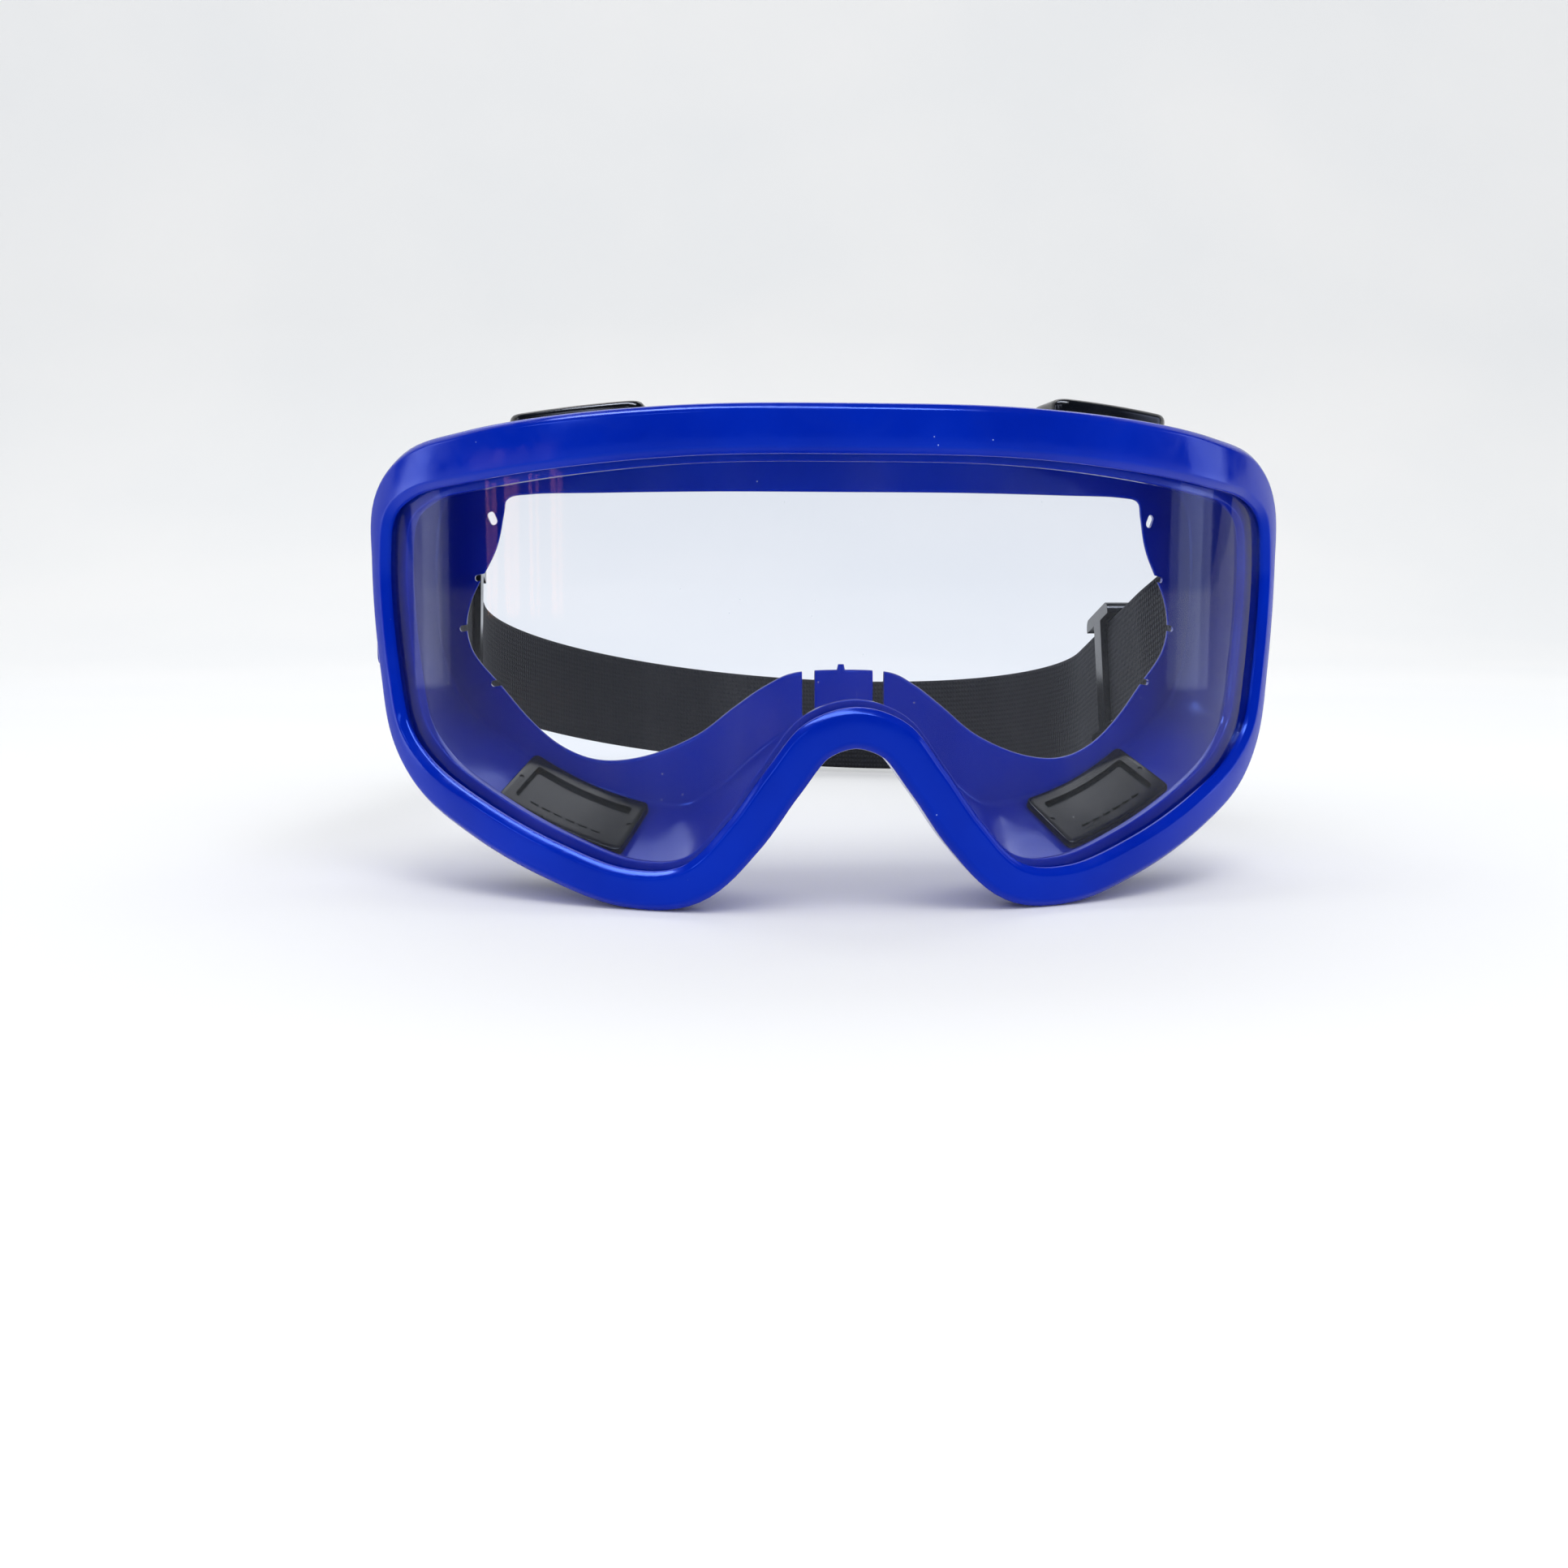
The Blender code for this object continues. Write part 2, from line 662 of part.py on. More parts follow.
def make_strap(parts, cutters, material):
    """The webbing round the head and its two free tails, ending in arcs round the pivot."""
    backs = np.linspace(WEBBING_START, STRAIGHT_END, SIDE_STEPS)
    side = [(layer_x(back, False), back) for back in backs]
    depth = STRAP_REACH - STRAIGHT_END
    turn = []
    for step in range(1, 2 * ARC_STEPS):
        angle = math.radians(90 * step / ARC_STEPS)
        x = HEAD_HALF_WIDTH * math.cos(angle)
        turn.append((x, STRAIGHT_END + depth * math.sin(angle)))
    left = [(-x, back) for x, back in reversed(side)]
    strap = webbing_object("strap", side + turn + left, strap_place, parts, material)
    relief = pivot_cylinder("strap_relief", PIVOT_RADIUS, cutters)
    add_boolean(strap, relief, "DIFFERENCE")
    backs = np.linspace(WEBBING_START, TAIL_END, SIDE_STEPS)
    for name, sign in (("left", -1), ("right", 1)):
        path = [(sign * layer_x(back, True), back) for back in backs]
        tail = webbing_object("strap_tail_" + name, path, strap_place, parts, material)
        add_boolean(tail, relief, "DIFFERENCE")


def make_strap_loops(parts, cutters, material):
    """The webbing's fold round each lug post, ending in the arcs that the strap turns on."""
    limit = pivot_cylinder("loop_limit", PIVOT_RADIUS - GAP, cutters)
    radius = LUG_THICKNESS / 2 + GAP + WEBBING / 2
    fold_y = -POST_WIDTH / 2
    for name, sign in (("left", -1), ("right", 1)):
        path = [(sign * (LUG_X - radius), PIVOT_RADIUS + WEBBING)]
        for step in range(ARC_STEPS + 1):
            angle = math.radians(180 * step / ARC_STEPS)
            x = LUG_X - radius * math.cos(angle)
            path.append((sign * x, fold_y - radius * math.sin(angle)))
        path.append((sign * (LUG_X + radius), PIVOT_RADIUS + WEBBING))
        loop = webbing_object("strap_loop_" + name, path, loop_place, parts, material)
        add_boolean(loop, limit, "INTERSECT")


def make_adjusters(parts, cutters, material):
    """Three-bar slides: the outer bars lie over the two layers and the middle bar under them."""
    inner = HEAD_HALF_WIDTH - WEBBING / 2 - GAP
    outer = HEAD_HALF_WIDTH + WEBBING * 1.5 + 2 * GAP
    clear = WEBBING_WIDTH + 2 * GAP
    full = clear + 2 * RAIL_WIDTH
    low = inner - BAR_THICKNESS - HEAD_HALF_WIDTH
    high = outer + BAR_THICKNESS - HEAD_HALF_WIDTH
    deep = 2 * BAR_THICKNESS
    end_room = ADJUSTER_LENGTH / 2
    rooms = [
        ("webbing", inner - HEAD_HALF_WIDTH, outer - HEAD_HALF_WIDTH, 0.0, 2 * ADJUSTER_LENGTH),
        ("outside", high - deep, high + deep, 0.0, ADJUSTER_LENGTH - 2 * BAR_WIDTH),
        ("front", low - deep, low + deep, -(MIDDLE_BAR + end_room) / 2, end_room),
        ("back", low - deep, low + deep, (MIDDLE_BAR + end_room) / 2, end_room),
    ]
    for name, sign in (("left", -1), ("right", 1)):
        empty = bpy.data.objects.new("adjuster_" + name + "_slide", None)
        parts.objects.link(empty)
        empty.location = strap_place(sign * HEAD_HALF_WIDTH, ADJUSTER_AT, 0.0)
        empty.rotation_euler = (math.radians(STRAP_PITCH), 0, 0)
        bm = flat_plate(rounded_rectangle(ADJUSTER_LENGTH, full, ADJUSTER_CORNER), low, high)
        for vert in bm.verts:
            y, z, x = vert.co
            vert.co = (sign * x, y, z)
        adjuster = new_object("adjuster_" + name, bm, parts, material)
        adjuster.parent = empty
        for room, x_low, x_high, y, length in rooms:
            size = (x_high - x_low, length, clear)
            centre = (sign * (x_low + x_high) / 2, y, 0.0)
            cutter = box("adjuster_" + room + "_" + name, size, centre, cutters)
            cutter.parent = empty
            hide_cutter(cutter)
            add_boolean(adjuster, cutter, "DIFFERENCE")


# ---------------------------------------------------------------- assembly

clear_scene()
PARTS = new_collection("safety_goggles")
CUTTERS = new_collection("cutters")
PVC = new_material("blue_pvc", (0.004, 0.022, 0.42), 0.22)
CLEAR = new_material("clear_lens", (0.9, 0.93, 0.95), 0.03, transmission=1.0)
BLACK = new_material("black_polypropylene", (0.012, 0.013, 0.014), 0.3)
ELASTIC = new_material("black_elastic", (0.01, 0.01, 0.011), 0.85)

CURVES = body_curves()
SECTIONS = []
CORNERS = []
for station in range(len(CURVES["rim"])):
    section_points, wall_corners = body_section(CURVES, station)
    SECTIONS.append(section_points)
    CORNERS.append(wall_corners)
WALL_SURFACE = Wall(CORNERS)
LUG_X, LUG_START_Y, POST_Y, PIVOT_Y = lug_frame(CURVES)
HEAD_HALF_WIDTH = LUG_X - HEAD_STEP_IN

make_body(CURVES, SECTIONS, WALL_SURFACE, PARTS, CUTTERS, PVC)
make_lens(CURVES, PARTS, CLEAR)
for vent in vent_spots(WALL_SURFACE):
    make_vent_cap(vent, WALL_SURFACE, PARTS, BLACK)
    make_vent_frame(vent, WALL_SURFACE, PARTS, BLACK)
make_strap_loops(PARTS, CUTTERS, ELASTIC)
make_strap(PARTS, CUTTERS, ELASTIC)
make_adjusters(PARTS, CUTTERS, BLACK)
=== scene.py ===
"""The looks of a pair of splash safety goggles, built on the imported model, in metres."""

import json
import math

import bmesh
import bpy
import numpy as np
from mathutils import Matrix, Vector


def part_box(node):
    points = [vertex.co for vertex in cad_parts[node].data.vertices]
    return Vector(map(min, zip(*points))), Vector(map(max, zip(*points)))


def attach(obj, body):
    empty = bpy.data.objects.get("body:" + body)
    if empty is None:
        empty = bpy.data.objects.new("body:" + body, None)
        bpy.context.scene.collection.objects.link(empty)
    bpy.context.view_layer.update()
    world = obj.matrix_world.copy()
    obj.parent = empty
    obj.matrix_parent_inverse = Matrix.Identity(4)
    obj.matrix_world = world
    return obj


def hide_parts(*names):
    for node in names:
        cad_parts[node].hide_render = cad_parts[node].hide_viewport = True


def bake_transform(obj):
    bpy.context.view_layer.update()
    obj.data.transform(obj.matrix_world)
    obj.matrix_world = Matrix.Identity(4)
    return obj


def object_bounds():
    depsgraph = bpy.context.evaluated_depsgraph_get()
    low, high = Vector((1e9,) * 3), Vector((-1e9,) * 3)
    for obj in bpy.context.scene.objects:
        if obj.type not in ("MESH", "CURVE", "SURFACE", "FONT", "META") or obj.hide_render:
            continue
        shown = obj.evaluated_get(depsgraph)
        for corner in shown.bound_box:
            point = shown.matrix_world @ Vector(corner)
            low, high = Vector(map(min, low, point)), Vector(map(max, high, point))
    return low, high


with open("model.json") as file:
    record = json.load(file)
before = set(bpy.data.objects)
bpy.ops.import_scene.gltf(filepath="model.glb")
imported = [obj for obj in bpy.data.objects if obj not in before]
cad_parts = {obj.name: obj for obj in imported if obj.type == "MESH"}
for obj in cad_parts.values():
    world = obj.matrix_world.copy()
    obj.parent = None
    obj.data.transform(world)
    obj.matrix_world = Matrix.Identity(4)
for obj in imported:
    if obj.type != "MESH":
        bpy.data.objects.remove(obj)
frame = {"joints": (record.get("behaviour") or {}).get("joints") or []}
cad_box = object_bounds()


# ---------------------------------------------------------------- body
# One soft PVC moulding: the rim that holds the lens, the side wall, the thin flange that lies
# on the face, the nose tab and the two strap lugs. Injection moulded, then the nose slits and
# the edge notches are trimmed by hand.
MM = 0.001
LENS_RADIUS = 0.102
LENS_THICKNESS = 0.0020
LENS_OVERLAP = 0.0028
RIM_RISE = 0.0020
RIM_CHAMFER = 0.0011
RIM_DEPTH = 0.0080
RIM_STEP = 0.0012
BACK_LIP_HEIGHT = 0.0010
BACK_LIP_DEPTH = 0.0017
WALL = 0.0018
FLANGE = 0.0016
FACE_DEPTH = 0.028
FACE_CURVE = 6.8
NOSE_RISE = 0.008
NOSE_HALF_WIDTH = 0.014
NOSE_FADE = 0.012
GAP = 0.0003
STEPS_PER_SPAN = 8

# The right half, from the middle of the brow round to the middle of the nose, in mm: window
# edge (along the lens, up), rim width, flange edge (x, z), crease where flange meets wall (x, z).
STATIONS = [
    (0.0, 34.2, 8.2, 0.0, 29.2, 0.0, 39.3),
    (26.0, 34.0, 8.3, 22.0, 29.3, 24.0, 39.1),
    (50.0, 32.4, 8.7, 43.0, 29.3, 46.0, 38.2),
    (70.0, 30.3, 8.8, 56.0, 29.3, 63.0, 36.4),
    (84.5, 28.2, 8.2, 60.8, 28.4, 71.0, 33.0),
    (91.5, 24.4, 6.9, 61.5, 25.6, 75.3, 27.6),
    (93.2, 17.0, 5.4, 63.2, 19.0, 76.8, 18.8),
    (92.9, 8.0, 5.2, 68.8, 8.5, 76.8, 8.0),
    (91.0, -3.0, 5.2, 68.6, 0.0, 75.4, -3.0),
    (88.0, -12.5, 5.6, 62.3, -7.2, 70.6, -12.0),
    (81.0, -18.8, 6.6, 57.0, -12.9, 62.8, -17.8),
    (68.0, -25.0, 6.9, 50.5, -17.8, 54.5, -22.3),
    (52.0, -31.2, 6.8, 42.5, -19.9, 44.0, -26.4),
    (38.5, -34.9, 6.7, 33.5, -18.2, 34.0, -28.5),
    (29.0, -33.9, 6.9, 25.5, -14.4, 27.0, -28.5),
    (21.5, -26.6, 7.1, 19.0, -9.2, 20.5, -24.0),
    (15.0, -17.6, 7.0, 13.5, -5.1, 14.5, -18.3),
    (8.5, -9.7, 7.0, 8.2, -2.5, 8.0, -13.6),
    (0.0, -6.9, 7.0, 0.0, -1.9, 0.0, -12.2),
]


def lens_point(along, up, rise):
    """A point by its distance along the bent lens, its height and its rise off the front."""
    angle = along / LENS_RADIUS
    x = (LENS_RADIUS + rise) * math.sin(angle)
    y = LENS_RADIUS - (LENS_RADIUS + rise) * math.cos(angle) - FACE_DEPTH
    return np.array((x, y, up))


def face_y(x, z):
    """How far back the wearer's face lies, with the nose standing forward."""
    fade = min(max((NOSE_FADE - z) / NOSE_FADE, 0.0), 1.0)
    return FACE_CURVE * x * x - NOSE_RISE * math.exp(-(x / NOSE_HALF_WIDTH) ** 2) * fade


def smooth_closed(rows, steps):
    """A smooth closed curve through the rows, spaced by the first two columns."""
    rows = np.array(rows)
    after = np.roll(rows, -1, axis=0)
    spans = np.sqrt(np.linalg.norm((after - rows)[:, :2], axis=1))
    ahead = spans[:, None]
    before = np.roll(spans, 1)[:, None]
    rise_ahead = (after - rows) / ahead
    rise_before = (rows - np.roll(rows, 1, axis=0)) / before
    slopes = (rise_before * ahead + rise_ahead * before) / (before + ahead)
    samples = []
    for i in range(len(rows)):
        end = (i + 1) % len(rows)
        for t in np.arange(steps) / steps:
            hold = 2 * t ** 3 - 3 * t ** 2 + 1
            lead = (t ** 3 - 2 * t ** 2 + t) * spans[i]
            trail = (t ** 3 - t ** 2) * spans[i]
            samples.append(
                hold * rows[i] + (1 - hold) * rows[end] + lead * slopes[i] + trail * slopes[end]
            )
    return np.array(samples)


def outward(curve):
    """Unit outward normals of a closed plane curve that runs clockwise."""
    tangent = np.roll(curve, -1, axis=0) - np.roll(curve, 1, axis=0)
    tangent /= np.linalg.norm(tangent, axis=1)[:, None]
    return np.stack((-tangent[:, 1], tangent[:, 0]), axis=1)


right_half = [np.array(row) * MM for row in STATIONS]
left_half = [row * np.array((-1, 1, 1, -1, 1, -1, 1)) for row in reversed(right_half[1:-1])]
samples = smooth_closed(right_half + left_half, STEPS_PER_SPAN)
window, rim_width = samples[:, 0:2], samples[:, 2]
flange_edge, crease = samples[:, 3:5], samples[:, 5:7]
window_out = outward(window)
crease_out = outward(crease)


def body_section(i):
    """The closed section of the body at one station, as corner points."""

    def at(width, rise):
        place = window[i] + width * window_out[i]
        return lens_point(place[0], place[1], rise)

    def straight_back(width, y):
        point = at(width, RIM_RISE - RIM_CHAMFER)
        return np.array((point[0], y, point[2]))

    rim = rim_width[i]
    groove = LENS_OVERLAP + GAP
    groove_back = -LENS_THICKNESS - GAP
    rim_edge = at(rim, RIM_RISE - RIM_CHAMFER)
    back_y = rim_edge[1] + RIM_DEPTH
    cx, cz = crease[i]
    ox, oz = crease_out[i] * WALL / 2
    ex, ez = flange_edge[i]
    return [
        at(0.0, GAP),
        at(0.0, RIM_RISE - RIM_CHAMFER),
        at(RIM_CHAMFER, RIM_RISE),
        at(rim - RIM_CHAMFER, RIM_RISE),
        rim_edge,
        straight_back(rim, back_y),
        straight_back(rim - RIM_STEP, back_y),
        np.array((cx + ox, face_y(cx, cz), cz + oz)),
        np.array((ex, face_y(ex, ez), ez)),
        np.array((ex, face_y(ex, ez) - FLANGE, ez)),
        np.array((cx - ox, face_y(cx, cz) - FLANGE, cz - oz)),
        straight_back(rim - RIM_STEP - WALL, back_y - RIM_STEP),
        at(-BACK_LIP_HEIGHT, groove_back - BACK_LIP_DEPTH),
        at(-BACK_LIP_HEIGHT, groove_back),
        at(groove, groove_back),
        at(groove, GAP),
    ]


def smooth(thing, angle=38.0):
    """Shade a piece smooth, except where its faces meet at more than the angle."""
    thing.data.shade_smooth()
    thing.data.set_sharp_from_angle(angle=math.radians(angle))


def add_piece(name, bm, material=None, angle=38.0):
    """Turn a bmesh into an object of the scene."""
    bm.normal_update()
    bmesh.ops.recalc_face_normals(bm, faces=bm.faces)
    mesh = bpy.data.meshes.new(name)
    bm.to_mesh(mesh)
    bm.free()
    thing = bpy.data.objects.new(name, mesh)
    bpy.context.scene.collection.objects.link(thing)
    if material is not None:
        mesh.materials.append(material)
    smooth(thing, angle)
    return thing


def apply_cuts(thing, cutters, operation="DIFFERENCE"):
    """Cut a piece with other meshes, or join them to it, and take the other meshes away."""
    for cutter in cutters:
        modifier = thing.modifiers.new("cut", "BOOLEAN")
        modifier.operation = operation
        modifier.solver = "EXACT"
        modifier.object = cutter
    bpy.context.view_layer.update()
    shape = thing.evaluated_get(bpy.context.evaluated_depsgraph_get())
    mesh = bpy.data.meshes.new_from_object(shape)
    thing.modifiers.clear()
    thing.data = mesh
    for cutter in cutters:
        bpy.data.objects.remove(cutter, do_unlink=True)


def bevel(bm, edges, radius, segments=3):
    bmesh.ops.bevel(
        bm, geom=edges, offset=radius, segments=segments, profile=0.5, affect="EDGES", material=-1,
    )


def block(length, width, corner, low, high, segments=6):
    """A flat block about the origin with rounded upright edges."""
    bm = bmesh.new()
    bmesh.ops.create_cube(bm, size=1.0)
    bmesh.ops.scale(bm, verts=bm.verts, vec=(length, width, high - low))
    bmesh.ops.translate(bm, verts=bm.verts, vec=(0, 0, (low + high) / 2))
    upright = [e for e in bm.edges if abs(e.verts[0].co.z - e.verts[1].co.z) > (high - low) / 2]
    bevel(bm, upright, corner, segments)
    return bm


def place_block(bm, centre, turn_y=0.0):
    """Turn a block about Y and move it to its place."""
    turn = Matrix.Rotation(math.radians(turn_y), 3, "Y")
    bmesh.ops.rotate(bm, verts=bm.verts, cent=(0, 0, 0), matrix=turn)
    bmesh.ops.translate(bm, verts=bm.verts, vec=centre)


bm = bmesh.new()
rings = []
for i in range(len(samples)):
    ring = [bm.verts.new(point) for point in body_section(i)]
    edges = [bm.edges.new((ring[k - 1], ring[k])) for k in range(len(ring))]
    rings.append((ring, edges))
for (ring, edges), (following, more) in zip(rings, rings[1:] + rings[:1]):
    bmesh.ops.bridge_loops(bm, edges=edges + more)
ROUNDING = (
    ((1, 2), 0.30 * MM),
    ((3, 4), 0.45 * MM),
    ((5, 6, 11), 0.55 * MM),
    ((7, 10), 1.00 * MM),
    ((8, 9), 0.60 * MM),
    ((12, 13), 0.30 * MM),
)
rails = {}
for k in range(16):
    pairs = zip(rings, rings[1:] + rings[:1])
    rails[k] = [bm.edges.get((ring[k], following[k])) for (ring, _), (following, _) in pairs]
for group, radius in ROUNDING:
    bevel(bm, [edge for k in group for edge in rails[k]], radius)
body = add_piece("goggle_body_moulding", bm)

# The slits beside the nose tab, the notches in the side edges and the relief holes above them.
NOSE_SLIT_X = 0.0062
NOSE_SLIT_WIDTH = 0.0022
NOSE_SLIT_LENGTH = 0.0088
NOTCH_SIZE = (0.0032, 0.0012)
NOTCH_HEIGHTS = (0.0140, 0.0035, -0.0060)
RELIEF_SIZE = (0.0015, 0.0026)
RELIEF_UP = 0.0250
RELIEF_INSET = 0.0022
CUT_DEPTH = 0.0096


def edge_at(sign, height):
    """The flange edge's point at a height, on one side."""
    side = [spot for spot in flange_edge if spot[0] * sign > 0.045]
    return min(side, key=lambda spot: abs(spot[1] - height))


def flange_cutter(size, x, z, turn):
    bm = block(size[0], size[1], min(size) * 0.45, -CUT_DEPTH / 2, CUT_DEPTH / 2, 3)
    upright = Matrix.Rotation(math.radians(90), 3, "X")
    bmesh.ops.rotate(bm, verts=bm.verts, cent=(0, 0, 0), matrix=upright)
    place_block(bm, (x, face_y(x, z), z), turn)
    return add_piece("flange_cutter", bm)


cutters = []
nose_z = flange_edge[len(flange_edge) // 2][1]
slit = (NOSE_SLIT_WIDTH, NOSE_SLIT_LENGTH * 1.5)
for sign in (-1, 1):
    cutters.append(flange_cutter(slit, sign * NOSE_SLIT_X, nose_z - NOSE_SLIT_LENGTH / 4, 0))
    for height in NOTCH_HEIGHTS:
        x, z = edge_at(sign, height)
        cutters.append(flange_cutter(NOTCH_SIZE, x, z, sign * 12))
    x, z = edge_at(sign, RELIEF_UP)
    cutters.append(flange_cutter(RELIEF_SIZE, x + sign * RELIEF_INSET, z, sign * 25))

# The side wall as a surface, which the vent openings, caps and frames follow.
corners = np.array([body_section(i) for i in range(len(samples))])
OUTSIDE = (corners[:, 6], corners[:, 7])
INSIDE = (corners[:, 11], corners[:, 10])
wall_middle = (OUTSIDE[0] + OUTSIDE[1]) / 2
wall_steps = np.linalg.norm(np.roll(wall_middle, -1, axis=0) - wall_middle, axis=1)
wall_length = np.concatenate(((0.0,), np.cumsum(wall_steps)))


def wall_row(points, distance):
    """The point of one of the wall's edges at a distance along the loop."""
    place = np.interp(distance % wall_length[-1], wall_length, np.arange(len(points) + 1))
    low = int(place)
    first, second = points[low % len(points)], points[(low + 1) % len(points)]
    return first + (second - first) * (place - low)


def wall_find(x, top):
    """The distance along the loop where the wall's middle passes x, above or below."""
    rows = [i for i, spot in enumerate(wall_middle) if (spot[2] > 0) == top]
    i = min(rows, key=lambda k: abs(wall_middle[k][0] - x))
    near = sorted(((i - 1), i, (i + 1) % len(wall_middle)), key=lambda k: wall_middle[k][0])
    return float(np.interp(x, [wall_middle[k][0] for k in near], [wall_length[k] for k in near]))


def wall_point(spot, along, back, rise, side):
    """A point by its distances from a spot on the wall. Rise is away from the wearer."""
    centre, centre_back = spot
    nudge = 0.5 * MM

    def on(distance, further):
        front, rear = wall_row(side[0], distance), wall_row(side[1], distance)
        return front + (rear - front) * (0.5 + (centre_back + further) / np.linalg.norm(rear - front))

    def stride(further):
        return np.linalg.norm(on(centre + nudge, further) - on(centre - nudge, further))

    along *= stride(0.0) / stride(back)
    lengthways = on(centre + along + nudge, back) - on(centre + along - nudge, back)
    backwards = on(centre + along, back + nudge) - on(centre + along, back - nudge)
    normal = np.cross(lengthways, backwards)
    return on(centre + along, back) + normal / np.linalg.norm(normal) * rise


def lay_on_wall(bm, spot, side, turn=1, step=2.0 * MM):
    """Cut a flat shape into short strips and lay it on the wall at a spot."""
    for axis in (0, 1):
        normal = [0, 0, 0]
        normal[axis] = 1
        low = min(vert.co[axis] for vert in bm.verts)
        high = max(vert.co[axis] for vert in bm.verts)
        count = round((high - low) / step)
        for k in range(1, count):
            place = [0, 0, 0]
            place[axis] = low + (high - low) * k / count
            everything = bm.verts[:] + bm.edges[:] + bm.faces[:]
            bmesh.ops.bisect_plane(bm, geom=everything, plane_co=place, plane_no=normal, dist=0.02 * MM)
    for vert in bm.verts:
        along, back, rise = vert.co
        vert.co = wall_point(spot, along, back, rise * turn, side)


TOP_VENT_X = 0.0472
LOW_VENT_X = 0.0507
VENT_SHIFT = 0.0008
LOW_VENT_BACK = 0.0025
HOLE_CORNER = 0.0010
CAP_LENGTH = 0.0275
CAP_WIDTH = 0.0145
PLUG_INSET = 0.0040
PLUG_LENGTH = CAP_LENGTH - 2 * PLUG_INSET
PLUG_WIDTH = CAP_WIDTH - 2 * PLUG_INSET
vents = {}
for side_name, sign in (("left", -1), ("right", 1)):
    vents["top_" + side_name] = (wall_find(sign * TOP_VENT_X + VENT_SHIFT, True), 0.0)
    low_spot = wall_find(sign * LOW_VENT_X + VENT_SHIFT, False)
    vents["bottom_" + side_name] = (low_spot, LOW_VENT_BACK)
for spot in vents.values():
    bm = block(PLUG_LENGTH + 2 * GAP, PLUG_WIDTH + 2 * GAP, HOLE_CORNER, -2.5 * WALL, 1.5 * WALL)
    lay_on_wall(bm, spot, OUTSIDE)
    cutters.append(add_piece("vent_opening", bm))
apply_cuts(body, cutters)

# The strap lugs: thin ears moulded behind the rim, each with an upright slot and a post.
WEBBING_WIDTH = 0.0250
WEBBING = 0.0014
LUG_Z = 0.013
LUG_HEIGHT = WEBBING_WIDTH + 0.0060
LUG_THICKNESS = 0.0022
LUG_ROUND = 0.00045
LUG_ROOT = 0.0040
SLOT_START = 0.0098
SLOT_WIDTH = 0.0034
POST_WIDTH = 0.0035
pivot = frame["joints"][0]["pos_m"]
PIVOT_Y = pivot[1]
POST_Y = PIVOT_Y - POST_WIDTH / 2
LUG_START_Y = POST_Y - SLOT_WIDTH - SLOT_START
loop_low, loop_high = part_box("strap_loop_right")
LUG_X = (loop_low.x + loop_high.x) / 2
lugs = []
for sign in (-1, 1):
    front, back = LUG_START_Y - LUG_ROOT, POST_Y + POST_WIDTH
    bm = block(back - front, LUG_HEIGHT, 2.0 * MM, -LUG_THICKNESS / 2, LUG_THICKNESS / 2)
    rim_edges = [e for e in bm.edges if abs(e.verts[0].co.z - e.verts[1].co.z) < 1e-7]
    bevel(bm, rim_edges, LUG_ROUND)
    for vert in bm.verts:
        y, z, x = vert.co
        vert.co = (sign * (LUG_X + x), (front + back) / 2 + y, LUG_Z + z)
    lug = add_piece("lug", bm)
    bm = block(SLOT_WIDTH, WEBBING_WIDTH + 4 * GAP, 0.8 * MM, -2 * LUG_THICKNESS, 2 * LUG_THICKNESS)
    for vert in bm.verts:
        y, z, x = vert.co
        vert.co = (sign * (LUG_X + x), POST_Y - SLOT_WIDTH / 2 + y, LUG_Z + z)
    apply_cuts(lug, [add_piece("lug_slot", bm)])
    lugs.append(lug)
nub = bmesh.new()
bmesh.ops.create_cone(
    nub, cap_ends=True, segments=14, radius1=0.85 * MM, radius2=0.5 * MM, depth=1.5 * MM,
)
nub_z = nose_z + 0.2 * MM
bmesh.ops.translate(nub, verts=nub.verts, vec=(-0.6 * MM, face_y(0, nub_z) - FLANGE / 2, nub_z))
apply_cuts(body, lugs + [add_piece("gate_nub", nub)], "UNION")


def linear(hex_colour):
    """A linear colour from an sRGB hex value."""
    levels = [int(hex_colour[k:k + 2], 16) / 255 for k in (1, 3, 5)]
    return (*(v / 12.92 if v <= 0.04045 else ((v + 0.055) / 1.055) ** 2.4 for v in levels), 1.0)


def per(size_mm):
    """The pattern scale that repeats at a size in millimetres."""
    return 1000.0 / size_mm


def new_material(name):
    material = bpy.data.materials.new(name)
    material.use_nodes = True
    return material, material.node_tree.nodes["Principled BSDF"]


def link(owner, output, socket):
    owner.node_tree.links.new(output, socket)


def add_node(owner, kind, inputs=None, output=0, **settings):
    """Add a node with its settings and links, and return one of its outputs.

    An input's value is a socket, which is linked to it, a hex colour or a plain value.
    """
    made = owner.node_tree.nodes.new("ShaderNode" + kind)
    for name, value in settings.items():
        setattr(made, name, value)
    for name, value in (inputs or {}).items():
        if isinstance(value, bpy.types.NodeSocket):
            link(owner, value, made.inputs[name])
        else:
            made.inputs[name].default_value = linear(value) if isinstance(value, str) else value
    return made.outputs[output]


# What a Mix node needs to mix two colours, and the numbers of its inputs.
COLOURS = {"data_type": "RGBA", "output": 2}
SHARE, FIRST, SECOND = 0, 6, 7


